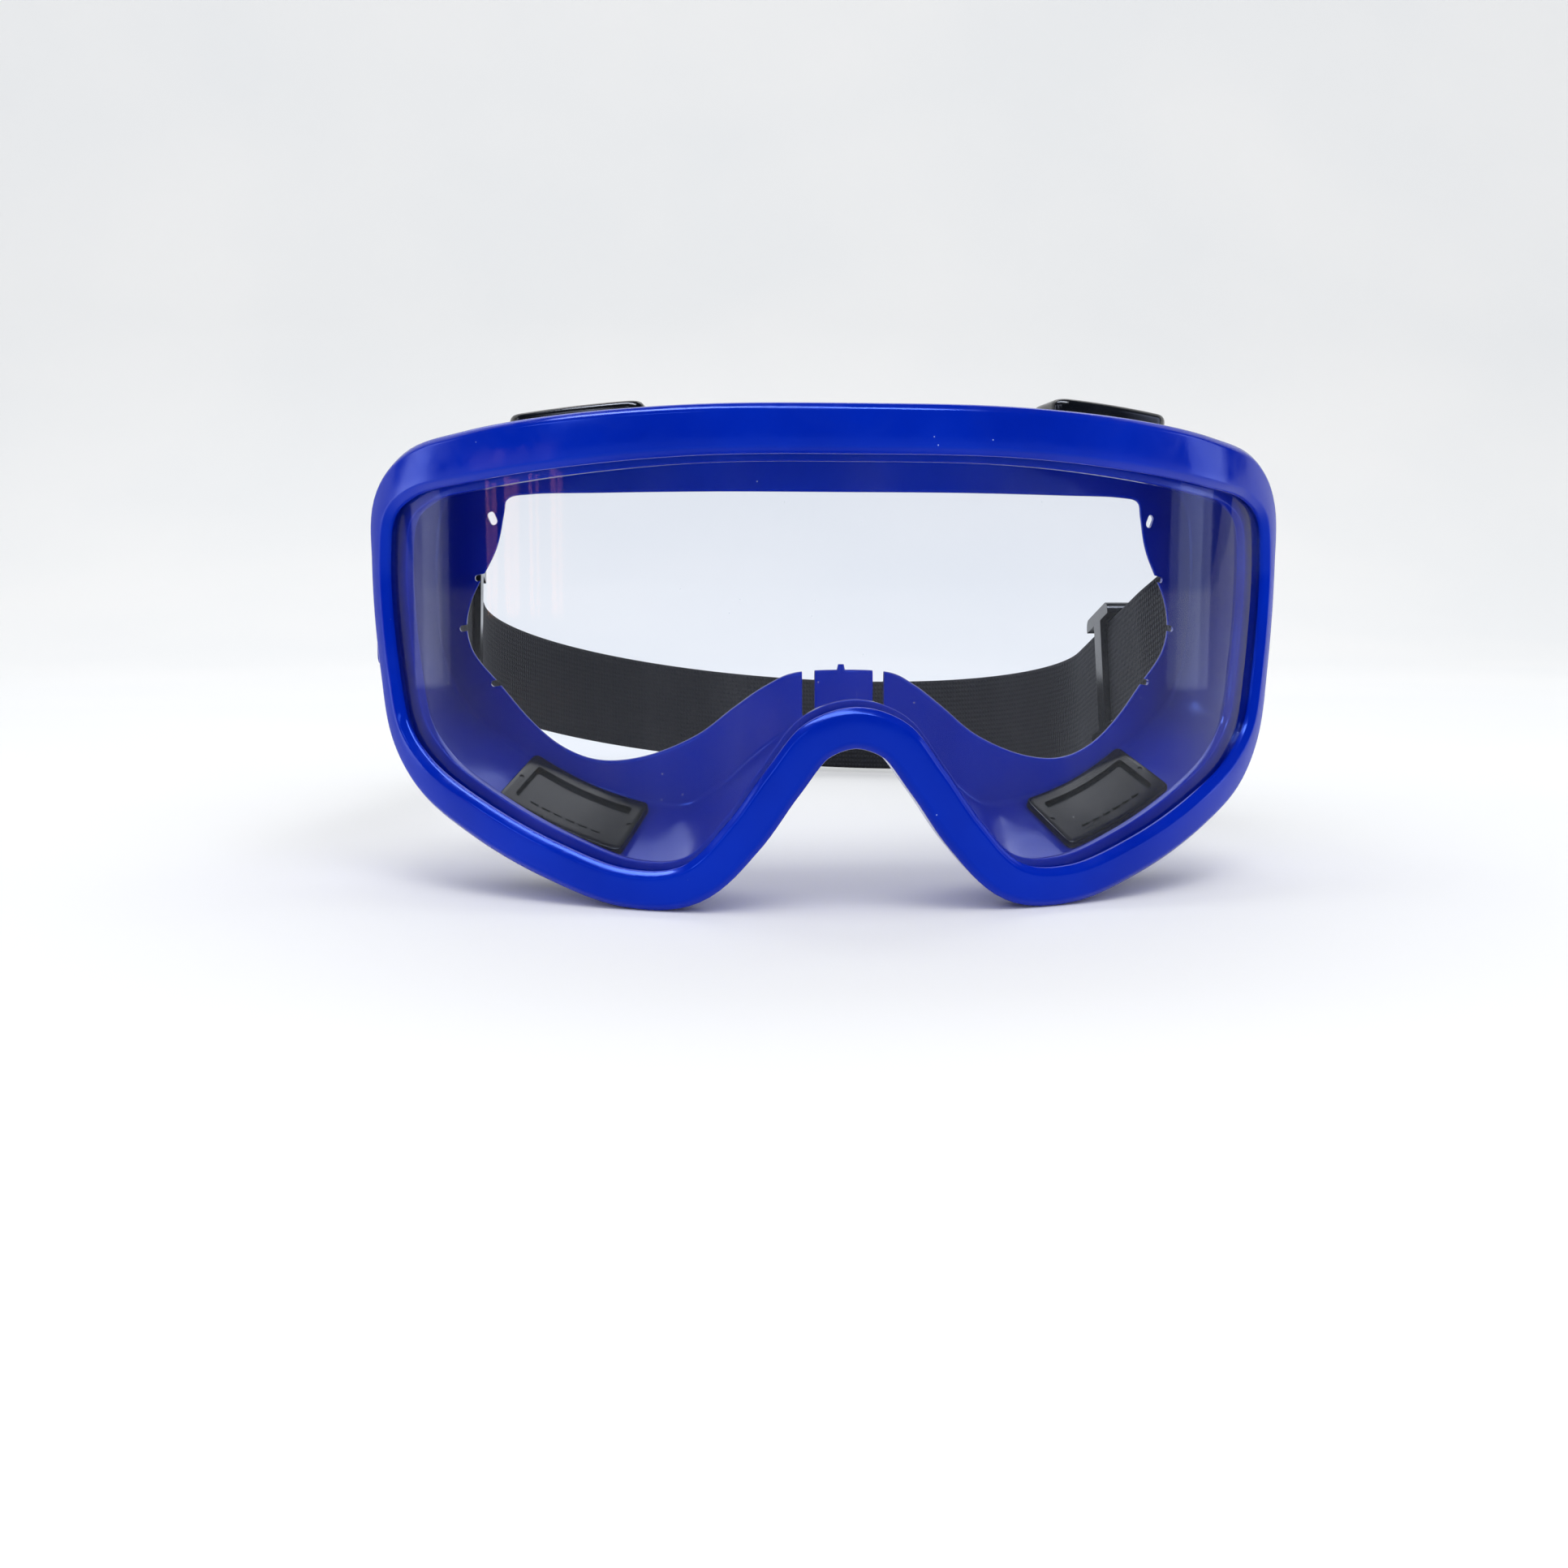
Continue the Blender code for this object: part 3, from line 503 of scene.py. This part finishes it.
def specks(material, vector, spacing_mm, radii, channel, rarity, strength=1.0):
    """Small scattered marks, where a higher rarity leaves fewer of them."""
    cells = add_node(material, "TexVoronoi", {
        "Vector": vector, "Scale": per(spacing_mm), "Randomness": 1.0,
    }).node.outputs
    dot = add_node(material, "MapRange", {
        "Value": cells["Distance"], "From Min": radii[0], "From Max": radii[1],
        "To Min": 1.0, "To Max": 0.0,
    })
    level = add_node(material, "SeparateColor", {"Color": cells["Color"]}, channel)
    chosen = add_node(material, "MapRange", {
        "Value": level, "From Min": rarity, "From Max": rarity + 0.02, "To Max": strength,
    })
    return add_node(material, "Math", {0: dot, 1: chosen}, operation="MULTIPLY")


# Plasticised PVC, injection moulded in a polished tool: deep royal blue right through, glossy,
# with a faint orange-peel, smears where it was handled and a few specks of dust.
pvc, shader = new_material("blue_pvc_moulded_gloss")
place = add_node(pvc, "TexCoord", output="Object")
flow = add_node(pvc, "TexNoise", {"Vector": place, "Scale": per(28), "Detail": 3.0})
smear = add_node(pvc, "TexNoise", {
    "Vector": place, "Scale": per(9), "Detail": 5.0, "Roughness": 0.6, "Distortion": 1.2,
})
grain = add_node(pvc, "TexNoise", {"Vector": place, "Scale": per(0.7), "Detail": 2.0})
wave = add_node(pvc, "TexNoise", {"Vector": place, "Scale": per(14), "Detail": 1.0})
dust = specks(pvc, place, 4.5, (0.018, 0.032), "Red", 0.62)
share = add_node(pvc, "MapRange", {"Value": flow, "From Min": 0.3, "From Max": 0.7})
blues = add_node(pvc, "Mix", {SHARE: share, FIRST: "#001fa2", SECOND: "#0128b6"}, **COLOURS)
dusty = add_node(pvc, "Mix", {SHARE: dust, FIRST: blues, SECOND: "#8fa6e0"}, **COLOURS)
link(pvc, dusty, shader.inputs["Base Color"])
gloss = add_node(pvc, "MapRange", {
    "Value": smear, "From Min": 0.35, "From Max": 0.75, "To Min": 0.09, "To Max": 0.24,
})
link(pvc, gloss, shader.inputs["Roughness"])
ripple = add_node(pvc, "Bump", {"Height": wave, "Strength": 0.25, "Distance": 0.4 * MM})
peel = add_node(pvc, "Bump", {
    "Height": grain, "Strength": 0.12, "Distance": 0.05 * MM, "Normal": ripple,
})
link(pvc, peel, shader.inputs["Normal"])
shader.inputs["IOR"].default_value = 1.53
shader.inputs["Specular IOR Level"].default_value = 0.5
shader.inputs["Specular Tint"].default_value = linear("#5f90ff")
body.data.materials.clear()
body.data.materials.append(pvc)
smooth(body)
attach(body, "goggles")
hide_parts("goggle_body")


# ---------------------------------------------------------------- lens
# Clear polycarbonate pane, cast flat and bent into the rim's groove. It's lightly scuffed and
# dusty, which shows as a faint haze with upright wiping streaks.
outline = window + window_out * LENS_OVERLAP
bm = bmesh.new()
for height in (-LENS_THICKNESS, 0.0):
    bm.faces.new([bm.verts.new((spot[0], spot[1], height)) for spot in outline])
bm.faces.ensure_lookup_table()
bmesh.ops.bridge_loops(bm, edges=bm.edges[:])
bm.normal_update()
bmesh.ops.recalc_face_normals(bm, faces=bm.faces)
half = max(outline[:, 0])
columns = round(2 * half / (2.0 * MM))
for k in range(1, columns):
    x = -half + 2 * half * k / columns
    everything = bm.verts[:] + bm.edges[:] + bm.faces[:]
    bmesh.ops.bisect_plane(
        bm, geom=everything, plane_co=(x, 0, 0), plane_no=(1, 0, 0), dist=0.05 * MM,
    )
for vert in bm.verts:
    vert.co = lens_point(*vert.co)

clear, shader = new_material("polycarbonate_clear_scuffed")
place = add_node(clear, "TexCoord", output="Object")
upright = add_node(clear, "Mapping", {"Vector": place, "Scale": (1.0, 1.0, 0.09)})
streaks = add_node(clear, "TexNoise", {
    "Vector": upright, "Scale": per(16), "Detail": 4.0, "Roughness": 0.55,
})
patches = add_node(clear, "TexNoise", {"Vector": place, "Scale": per(34), "Detail": 3.0})
dust = specks(clear, place, 3.4, (0.02, 0.035), "Green", 0.72)
slant = add_node(clear, "Mapping", {
    "Vector": place, "Rotation": (0.0, 0.5, 0.0), "Scale": (1.0, 1.0, 0.06),
})
scratches = specks(clear, slant, 5.5, (0.006, 0.014), "Blue", 0.84, 0.55)
streaked = add_node(clear, "MapRange", {"Value": streaks, "From Min": 0.42, "From Max": 0.72})
patchy = add_node(clear, "MapRange", {
    "Value": patches, "From Min": 0.35, "From Max": 0.65, "To Min": 0.2, "To Max": 1.0,
})
smudge = add_node(clear, "Math", {0: streaked, 1: patchy}, operation="MULTIPLY")
haze = add_node(clear, "MapRange", {"Value": smudge, "To Min": 0.001, "To Max": 0.014})
marks = add_node(clear, "Math", {0: dust, 1: scratches}, operation="MAXIMUM")
faint = add_node(clear, "MapRange", {"Value": marks, "To Max": 0.6})
cover = add_node(clear, "Math", {0: haze, 1: faint}, operation="MAXIMUM")
see = add_node(clear, "BsdfTransparent", {"Color": "#f7f9fd"})
shine = add_node(clear, "BsdfGlossy", {"Color": "#ffffff", "Roughness": 0.045})
facing = add_node(clear, "LayerWeight", {"Blend": 0.5}, "Facing")
steep = add_node(clear, "Math", {0: facing, 1: 5.0}, operation="POWER")
mirror_share = add_node(clear, "MapRange", {"Value": steep, "To Min": 0.009, "To Max": 0.9})
pane = add_node(clear, "MixShader", {"Fac": mirror_share, 1: see, 2: shine})
film = add_node(clear, "BsdfDiffuse", {"Color": "#dfe4f2"})
dirty = add_node(clear, "MixShader", {"Fac": cover, 1: pane, 2: film})
clear.node_tree.nodes.remove(shader)
link(clear, dirty, clear.node_tree.nodes["Material Output"].inputs["Surface"])
lens = add_piece("lens_pane", bm, clear, 40)
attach(lens, "goggles")
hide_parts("lens")


# ---------------------------------------------------------------- vents
# Four indirect vents. Each has a low domed cap outside, with a plug through the wall, and inside
# it a frame that snaps on the plug. Both are moulded polypropylene.
CAP_HEIGHT = 0.0042
CAP_CORNER = 0.0030
CAP_ROUND = 0.0012
CAP_CROWN = 0.0005
PLUG_OVERLAP = 0.0004
PROUD_LIFT = 0.0012
FRAME_LENGTH = 0.0290
FRAME_WIDTH = 0.0158
FRAME_HEIGHT = 0.0016
FRAME_CORNER = 0.0014
FRAME_BORDER = 0.0028
POCKET_DEPTH = 0.0008
DOT_RADIUS = 0.00055
DOT_DEPTH = 0.0002
DASH_COUNT = 6
DASH_PITCH = 0.0029
DASH_SIZE = (0.0019, 0.00055)

black, shader = new_material("black_polypropylene_moulded")
place = add_node(black, "TexCoord", output="Object")
flow = add_node(black, "TexNoise", {"Vector": place, "Scale": per(12), "Detail": 3.0})
grain = add_node(black, "TexNoise", {
    "Vector": place, "Scale": per(0.25), "Detail": 3.0, "Roughness": 0.6,
})
dust = specks(black, place, 1.6, (0.03, 0.06), "Red", 0.86)
share = add_node(black, "MapRange", {"Value": flow, "From Min": 0.3, "From Max": 0.7})
greys = add_node(black, "Mix", {SHARE: share, FIRST: "#040608", SECOND: "#0b0e13"}, **COLOURS)
dusty = add_node(black, "Mix", {SHARE: dust, FIRST: greys, SECOND: "#50545c"}, **COLOURS)
link(black, dusty, shader.inputs["Base Color"])
gloss = add_node(black, "MapRange", {
    "Value": flow, "From Min": 0.3, "From Max": 0.7, "To Min": 0.12, "To Max": 0.26,
})
link(black, gloss, shader.inputs["Roughness"])
shader.inputs["Specular IOR Level"].default_value = 0.4
fine = add_node(black, "Bump", {"Height": grain, "Strength": 0.25, "Distance": 0.03 * MM})
link(black, fine, shader.inputs["Normal"])


def round_edges(thing, width):
    """Round a piece's sharp edges with a modifier."""
    rounding = thing.modifiers.new("rounding", "BEVEL")
    rounding.width = width
    rounding.segments = 3
    rounding.limit_method = "ANGLE"
    rounding.angle_limit = math.radians(50)


def rim_at(bm, height):
    """The edges round the flat face at a height."""
    return [
        edge for edge in bm.edges
        if all(abs(vert.co.z - height) < 1e-7 for vert in edge.verts)
        and edge.calc_face_angle(0) > 0.5
    ]


def merge(bm, other):
    """Move one shape's faces into another."""
    made = {vert: bm.verts.new(vert.co) for vert in other.verts}
    for face in other.faces:
        bm.faces.new([made[vert] for vert in face.verts])
    other.free()


def shift(bm, x=0.0, y=0.0, z=0.0):
    bmesh.ops.translate(bm, verts=bm.verts, vec=(x, y, z))
    return bm


for name, spot in vents.items():
    lift = PROUD_LIFT if name == "top_right" else 0.0
    high = CAP_HEIGHT + lift - CAP_CROWN
    cap = block(CAP_LENGTH, CAP_WIDTH, CAP_CORNER, GAP + lift, high, 8)
    bevel(cap, rim_at(cap, high), CAP_ROUND, 5)
    bevel(cap, rim_at(cap, GAP + lift), 0.25 * MM, 2)
    for vert in cap.verts:
        x, y, z = vert.co
        swell = (1 - (2 * x / CAP_LENGTH) ** 2) * (1 - (2 * y / CAP_WIDTH) ** 2)
        vert.co.z += CAP_CROWN * swell * max(0.0, (z - GAP - lift) / (high - GAP - lift))
    plug_top = GAP + lift + PLUG_OVERLAP
    plug = block(PLUG_LENGTH, PLUG_WIDTH, HOLE_CORNER - GAP, -WALL, plug_top, 4)
    merge(cap, plug)
    lay_on_wall(cap, spot, OUTSIDE, step=1.2 * MM)
    piece = add_piece("vent_cap_moulding_" + name, cap, black, 35)
    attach(piece, "goggles")
    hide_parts("vent_cap_" + name)

    clip = block(FRAME_LENGTH, FRAME_WIDTH, FRAME_CORNER, GAP, FRAME_HEIGHT, 5)
    bevel(clip, rim_at(clip, FRAME_HEIGHT), 0.3 * MM, 3)
    clip_piece = add_piece("vent_frame_moulding_" + name, clip, black, 35)
    tools = []
    floor = FRAME_HEIGHT - POCKET_DEPTH
    pocket_length, pocket_width = FRAME_LENGTH - 2 * FRAME_BORDER, FRAME_WIDTH - 2 * FRAME_BORDER
    pocket = block(pocket_length, pocket_width, FRAME_CORNER / 2, floor, FRAME_HEIGHT + MM, 4)
    tools.append(add_piece("pocket", pocket))
    for x in (-FRAME_LENGTH / 2 + FRAME_BORDER / 2, FRAME_LENGTH / 2 - FRAME_BORDER / 2):
        dot = bmesh.new()
        bmesh.ops.create_cone(
            dot, cap_ends=True, segments=20, radius1=DOT_RADIUS, radius2=DOT_RADIUS,
            depth=2 * DOT_DEPTH,
        )
        tools.append(add_piece("ejector_dot", shift(dot, x, 0.0, FRAME_HEIGHT)))
    apply_cuts(clip_piece, tools)
    bm = bmesh.new()
    bm.from_mesh(clip_piece.data)
    for k in range(DASH_COUNT):
        dash = block(*DASH_SIZE, 0.2 * MM, floor - 0.1 * MM, floor + 0.3 * MM, 3)
        x = (k - (DASH_COUNT - 1) / 2) * DASH_PITCH
        merge(bm, shift(dash, x, FRAME_BORDER + 1.3 * MM - FRAME_WIDTH / 2))
    lay_on_wall(bm, spot, INSIDE, turn=-1, step=1.2 * MM)
    bmesh.ops.recalc_face_normals(bm, faces=bm.faces)
    bm.to_mesh(clip_piece.data)
    bm.free()
    round_edges(clip_piece, 0.25 * MM)
    smooth(clip_piece, 35)
    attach(clip_piece, "goggles")
    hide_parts("vent_frame_" + name)


# ---------------------------------------------------------------- strap
# Woven elastic webbing in one length: from one free tail through its adjuster, round the lug
# post, round the head, and back the same way on the other side. The cut ends are heat sealed.
STRAP_PITCH = -16.3
HEAD_STEP_IN = 0.0080107
HEAD_HALF_WIDTH = LUG_X - HEAD_STEP_IN
PIVOT_RADIUS = WEBBING_WIDTH / 2 + 0.0009
EASE_LENGTH = 0.025
STRAIGHT_END = 0.093
STRAP_REACH = 0.150
TAIL_END = 0.099
STRAP_SKEW = 0.0062
STRAP_LIFT = 0.0018
STRAP_STEP = 0.0010
SPREAD = LUG_THICKNESS / 2 + GAP + WEBBING / 2


def ease(share):
    """A smooth step from 0 to 1."""
    share = np.clip(share, 0.0, 1.0)
    return share * share * (3 - 2 * share)


def layer_x(back, outer):
    """How far out a layer of the strap lies: apart at the lug, stacked at the adjuster."""
    start = LUG_X + (SPREAD if outer else -SPREAD)
    end = HEAD_HALF_WIDTH + (WEBBING + GAP if outer else 0.0)
    return start + (end - start) * ease((back - PIVOT_RADIUS) / EASE_LENGTH)


def strap_place(x, back, up):
    """A point of the strap, level where it folds round the lug and sloping behind it."""
    share = ease((back - PIVOT_RADIUS) / EASE_LENGTH)
    rise = up + share * (STRAP_LIFT - STRAP_SKEW * x / HEAD_HALF_WIDTH)
    pitch = math.radians(STRAP_PITCH) * ease((back + 2 * MM) / (PIVOT_RADIUS + 2 * MM))
    y = PIVOT_Y + back * np.cos(pitch) - rise * np.sin(pitch)
    return (x, y, LUG_Z + back * np.sin(pitch) + rise * np.cos(pitch))


half_path = [(layer_x(back, True), back) for back in np.linspace(TAIL_END, 0.0, 100)]
for angle in np.radians(np.linspace(0, 180, 25)):
    half_path.append((LUG_X + SPREAD * math.cos(angle), -POST_WIDTH / 2 - SPREAD * math.sin(angle)))
half_path += [(layer_x(back, False), back) for back in np.linspace(0.0, STRAIGHT_END, 94)]
depth = STRAP_REACH - STRAIGHT_END
for angle in np.radians(np.linspace(2, 90, 60)):
    half_path.append((HEAD_HALF_WIDTH * math.cos(angle), STRAIGHT_END + depth * math.sin(angle)))
path = np.array(half_path + [(-x, back) for x, back in reversed(half_path[:-1])])
path_length = np.concatenate(((0.0,), np.cumsum(np.linalg.norm(np.diff(path, axis=0), axis=1))))
path_side = np.gradient(path, axis=0)
path_side = np.stack((path_side[:, 1], -path_side[:, 0]), axis=1)
path_side /= np.linalg.norm(path_side, axis=1)[:, None]

bm = bmesh.new()
half_width, half_thick = WEBBING_WIDTH / 2, WEBBING / 2
across = np.linspace(-1, 1, 15) * (half_width - half_thick)
ring = [(y, half_thick) for y in across[::-1]]
for angle in np.radians((112.5, 135, 157.5, 180, 202.5, 225, 247.5)):
    ring.append((-half_width + half_thick + half_thick * math.cos(angle), half_thick * math.sin(angle)))
ring += [(y, -half_thick) for y in across]
for angle in np.radians((-67.5, -45, -22.5, 0, 22.5, 45, 67.5)):
    ring.append((half_width - half_thick + half_thick * math.cos(angle), half_thick * math.sin(angle)))
end_face = bm.faces.new([bm.verts.new((0.0, y, z)) for y, z in ring])
count = round(path_length[-1] / STRAP_STEP)
bmesh.ops.spin(
    bm, geom=[end_face], cent=(0, 0, 0), axis=(1, 0, 0), dvec=(path_length[-1] / count, 0, 0),
    angle=0.0, space=Matrix.Identity(4), steps=count, use_merge=False, use_duplicate=False,
)
weave_map = bm.loops.layers.uv.new("weave")
for face in bm.faces:
    for loop in face.loops:
        loop[weave_map].uv = (loop.vert.co.x, loop.vert.co.y + half_width)
along, up, out = np.array([vert.co for vert in bm.verts]).T
to_end = np.minimum(along, path_length[-1] - along)
out *= 1 - 0.35 * np.exp(-(to_end / (0.6 * MM)) ** 2)
x, back = [
    np.interp(along, path_length, path[:, k]) + np.interp(along, path_length, path_side[:, k]) * out
    for k in (0, 1)
]
for vert, place in zip(bm.verts, np.stack(strap_place(x, back, up), axis=1)):
    vert.co = place

webbing, shader = new_material("elastic_webbing_woven")
weave = add_node(webbing, "UVMap", uv_map="weave")
thread = add_node(webbing, "TexNoise", {
    "Vector": weave, "Scale": per(1.1), "Detail": 4.0, "Roughness": 0.6,
})
wear = add_node(webbing, "TexNoise", {"Vector": weave, "Scale": per(24), "Detail": 3.0})
ribs, picks = [
    add_node(webbing, "TexWave", {
        "Vector": weave, "Scale": per(pitch_mm * math.pi), "Distortion": wander,
        "Detail": 1.0, "Detail Scale": 2.0,
    }, "Fac", bands_direction=direction)
    for direction, pitch_mm, wander in (("Y", 1.25, 0.15), ("X", 0.9, 0.35))
]
cross = add_node(webbing, "Math", {0: ribs, 1: picks}, operation="MULTIPLY")
relief = add_node(webbing, "Math", {0: cross, 1: thread}, operation="ADD")
# Painted shade: the hollows of the weave are coloured darker and the raised threads lighter, following
# the same relief as the bump.
weave_painted_shade = add_node(webbing, "MapRange", {"Value": relief, "From Min": 0.35, "From Max": 1.3})
cloth_painted_shade = add_node(webbing, "Mix", {SHARE: weave_painted_shade, FIRST: "#030409", SECOND: "#10121c"}, **COLOURS)
rubbed = add_node(webbing, "MapRange", {
    "Value": wear, "From Min": 0.55, "From Max": 0.8, "To Max": 0.35,
})
# Real rubbed wear, laid over the painted shade of the weave.
wear_and_painted_shade = add_node(webbing, "Mix", {SHARE: rubbed, FIRST: cloth_painted_shade, SECOND: "#1c1f2a"}, **COLOURS)
link(webbing, wear_and_painted_shade, shader.inputs["Base Color"])
matt = add_node(webbing, "MapRange", {
    "Value": thread, "From Min": 0.3, "From Max": 0.7, "To Min": 0.75, "To Max": 0.95,
})
link(webbing, matt, shader.inputs["Roughness"])
shader.inputs["Sheen Weight"].default_value = 0.06
shader.inputs["Specular IOR Level"].default_value = 0.3
shader.inputs["Sheen Roughness"].default_value = 0.4
woven = add_node(webbing, "Bump", {"Height": relief, "Strength": 0.8, "Distance": 0.25 * MM})
link(webbing, woven, shader.inputs["Normal"])
strap = add_piece("strap_webbing", bm, webbing, 60)
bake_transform(strap)
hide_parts("strap", "strap_loop_left", "strap_loop_right", "strap_tail_left", "strap_tail_right")


# ---------------------------------------------------------------- adjusters
# Three-bar slides, moulded in one piece: the outer bars lie over both layers of webbing and
# the middle bar lies under them, so the tail is held by friction.
ADJUSTER_AT = 0.066
ADJUSTER_LENGTH = 0.020
ADJUSTER_CORNER = 0.0020
BAR_WIDTH = 0.004
MIDDLE_BAR = 0.006
BAR_THICKNESS = 0.0016
RAIL_WIDTH = 0.0030
inner = -WEBBING / 2 - GAP
outer = WEBBING * 1.5 + 2 * GAP
clear_width = WEBBING_WIDTH + 2 * GAP
full_width = clear_width + 2 * RAIL_WIDTH
low, high = inner - BAR_THICKNESS, outer + BAR_THICKNESS
end_room = ADJUSTER_LENGTH / 2
rooms = (
    (inner, outer, 0.0, 2 * ADJUSTER_LENGTH),
    (high - 2 * BAR_THICKNESS, high + 2 * BAR_THICKNESS, 0.0, ADJUSTER_LENGTH - 2 * BAR_WIDTH),
    (low - 2 * BAR_THICKNESS, low + 2 * BAR_THICKNESS, -(MIDDLE_BAR + end_room) / 2, end_room),
    (low - 2 * BAR_THICKNESS, low + 2 * BAR_THICKNESS, (MIDDLE_BAR + end_room) / 2, end_room),
)
for name, sign in (("left", -1), ("right", 1)):
    plate = add_piece(
        "adjuster_slide_" + name,
        block(ADJUSTER_LENGTH, full_width, ADJUSTER_CORNER, low, high, 6), black,
    )
    tools = []
    for x_low, x_high, y, length in rooms:
        room = block(length, clear_width, 0.3 * MM, x_low, x_high, 2)
        tools.append(add_piece("room", shift(room, y)))
    apply_cuts(plate, tools)
    centre = Vector(strap_place(sign * HEAD_HALF_WIDTH, ADJUSTER_AT, 0.0))
    tilt = Matrix.Rotation(math.radians(STRAP_PITCH), 3, "X")
    for vert in plate.data.vertices:
        y, z, x = vert.co
        vert.co = centre + tilt @ Vector((sign * x, y, z))
    bm = bmesh.new()
    bm.from_mesh(plate.data)
    bmesh.ops.recalc_face_normals(bm, faces=bm.faces)
    bm.to_mesh(plate.data)
    bm.free()
    round_edges(plate, 0.3 * MM)
    smooth(plate, 50)
    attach(plate, name + "_adjuster")
    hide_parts("adjuster_" + name)


# ---------------------------------------------------------------- studio
# A pale floor that curves up into a backdrop, soft lights, and the camera in front.
floor_z = cad_box[0][2]
SWEEP_START = 0.7
SWEEP_RADIUS = 0.9
bm = bmesh.new()
bmesh.ops.create_grid(bm, x_segments=1, y_segments=160, size=4.0)
for vert in bm.verts:
    past = max(0.0, vert.co.y - SWEEP_START)
    angle = min(past / SWEEP_RADIUS, math.pi / 2)
    straight = past - angle * SWEEP_RADIUS
    y = min(vert.co.y, SWEEP_START) + SWEEP_RADIUS * math.sin(angle)
    vert.co = (vert.co.x, y, floor_z + SWEEP_RADIUS * (1 - math.cos(angle)) + straight)
paper, shader = new_material("studio_floor_paper")
place = add_node(paper, "TexCoord", output="Object")
tone = add_node(paper, "TexNoise", {"Vector": place, "Scale": per(260), "Detail": 2.0})
share = add_node(paper, "MapRange", {"Value": tone, "From Min": 0.35, "From Max": 0.65})
pale = add_node(paper, "Mix", {SHARE: share, FIRST: "#f5f6f7", SECOND: "#f9f9f9"}, **COLOURS)
link(paper, pale, shader.inputs["Base Color"])
shader.inputs["Roughness"].default_value = 0.7
floor = add_piece("studio_floor", bm, paper)

world = bpy.data.worlds.new("studio")
bpy.context.scene.world = world
world.use_nodes = True
rays = add_node(world, "LightPath").node.outputs
lit = add_node(
    world, "Mix", {SHARE: rays["Is Diffuse Ray"], FIRST: "#3a4358", SECOND: "#f0f1f2"}, **COLOURS,
)
shade = add_node(world, "Mix", {SHARE: rays["Is Camera Ray"], FIRST: lit, SECOND: "#f6f6f5"}, **COLOURS)
background = world.node_tree.nodes["Background"]
link(world, shade, background.inputs["Color"])
background.inputs["Strength"].default_value = 1.0


def area_light(name, at, to, size, radiance, colour="#ffffff", diffuse=True):
    """A rectangular light of a given radiance. Without diffuse it only shows in reflections."""
    data = bpy.data.lights.new(name, "AREA")
    data.shape = "RECTANGLE"
    data.size, data.size_y = size
    data.energy = radiance * math.pi * size[0] * size[1]
    data.color = linear(colour)[:3]
    light = bpy.data.objects.new(name, data)
    bpy.context.scene.collection.objects.link(light)
    light.location = at
    light.rotation_euler = (Vector(to) - Vector(at)).to_track_quat("-Z", "Y").to_euler()
    light.visible_camera = False
    light.visible_diffuse = diffuse
    return light


area_light("key_top", (0.15, -0.45, 0.95), (0.0, 0.0, 0.0), (0.7, 0.5), 2.3)
area_light("back_top", (0.0, 0.7, 0.8), (0.0, 0.0, 0.0), (1.2, 0.4), 1.4)
area_light("reflector_top", (-0.1, -0.15, 0.7), (0.0, 0.0, 0.0), (1.0, 0.18), 20.0, "#e6edff", False)
area_light("pane_far", (-0.62, -0.78, 0.47), (0.0, 0.0, 0.0), (0.30, 0.08), 6.0, "#dfe8ff", False)
area_light("pane_upper", (-0.86, -0.40, 0.42), (0.0, 0.0, 0.0), (0.20, 0.12), 7.0, "#dfe8ff", False)
area_light("pane_lower", (-0.84, -0.52, 0.30), (0.0, 0.0, 0.0), (0.14, 0.09), 6.0, "#dfe8ff", False)
area_light("strip_right", (0.60, 0.03, 0.03), (0.0, 0.0, 0.0), (0.125, 0.5), 3.0, "#b9c4e6", False)
area_light("strip_left", (-0.60, 0.09, 0.06), (0.0, 0.0, 0.0), (0.10, 0.4), 3.4, "#d6dcf0", False)
# Thin warm lights low on the left, each by its place across and back and its width.
WARM_STRIPS = (
    (-0.67, -0.12, 0.012),
    (-0.65, -0.18, 0.020),
    (-0.63, -0.25, 0.010),
    (-0.60, -0.31, 0.016),
)
for k, (x, y, wide) in enumerate(WARM_STRIPS):
    area_light("warm_strip_%d" % k, (x, y, 0.03), (0.0, 0.0, 0.03), (wide, 0.08), 16.0, "#b9764a", False)

CAMERA_AT = (-0.03385, -0.32098, 0.01634)
CAMERA_TO = (-0.01198, -0.02800, -0.01973)
CAMERA_ROLL = -0.17
data = bpy.data.cameras.new("front")
data.lens = 40.99
data.sensor_width = 36.0
data.clip_start = 0.01
camera = bpy.data.objects.new("front", data)
bpy.context.scene.collection.objects.link(camera)
camera.location = CAMERA_AT
aim = (Vector(CAMERA_TO) - Vector(CAMERA_AT)).to_track_quat("-Z", "Y")
roll = Matrix.Rotation(math.radians(-CAMERA_ROLL), 4, "Z")
camera.rotation_euler = (aim.to_matrix().to_4x4() @ roll).to_euler()
bpy.context.scene.camera = camera
bpy.context.scene.view_settings.view_transform = "Standard"
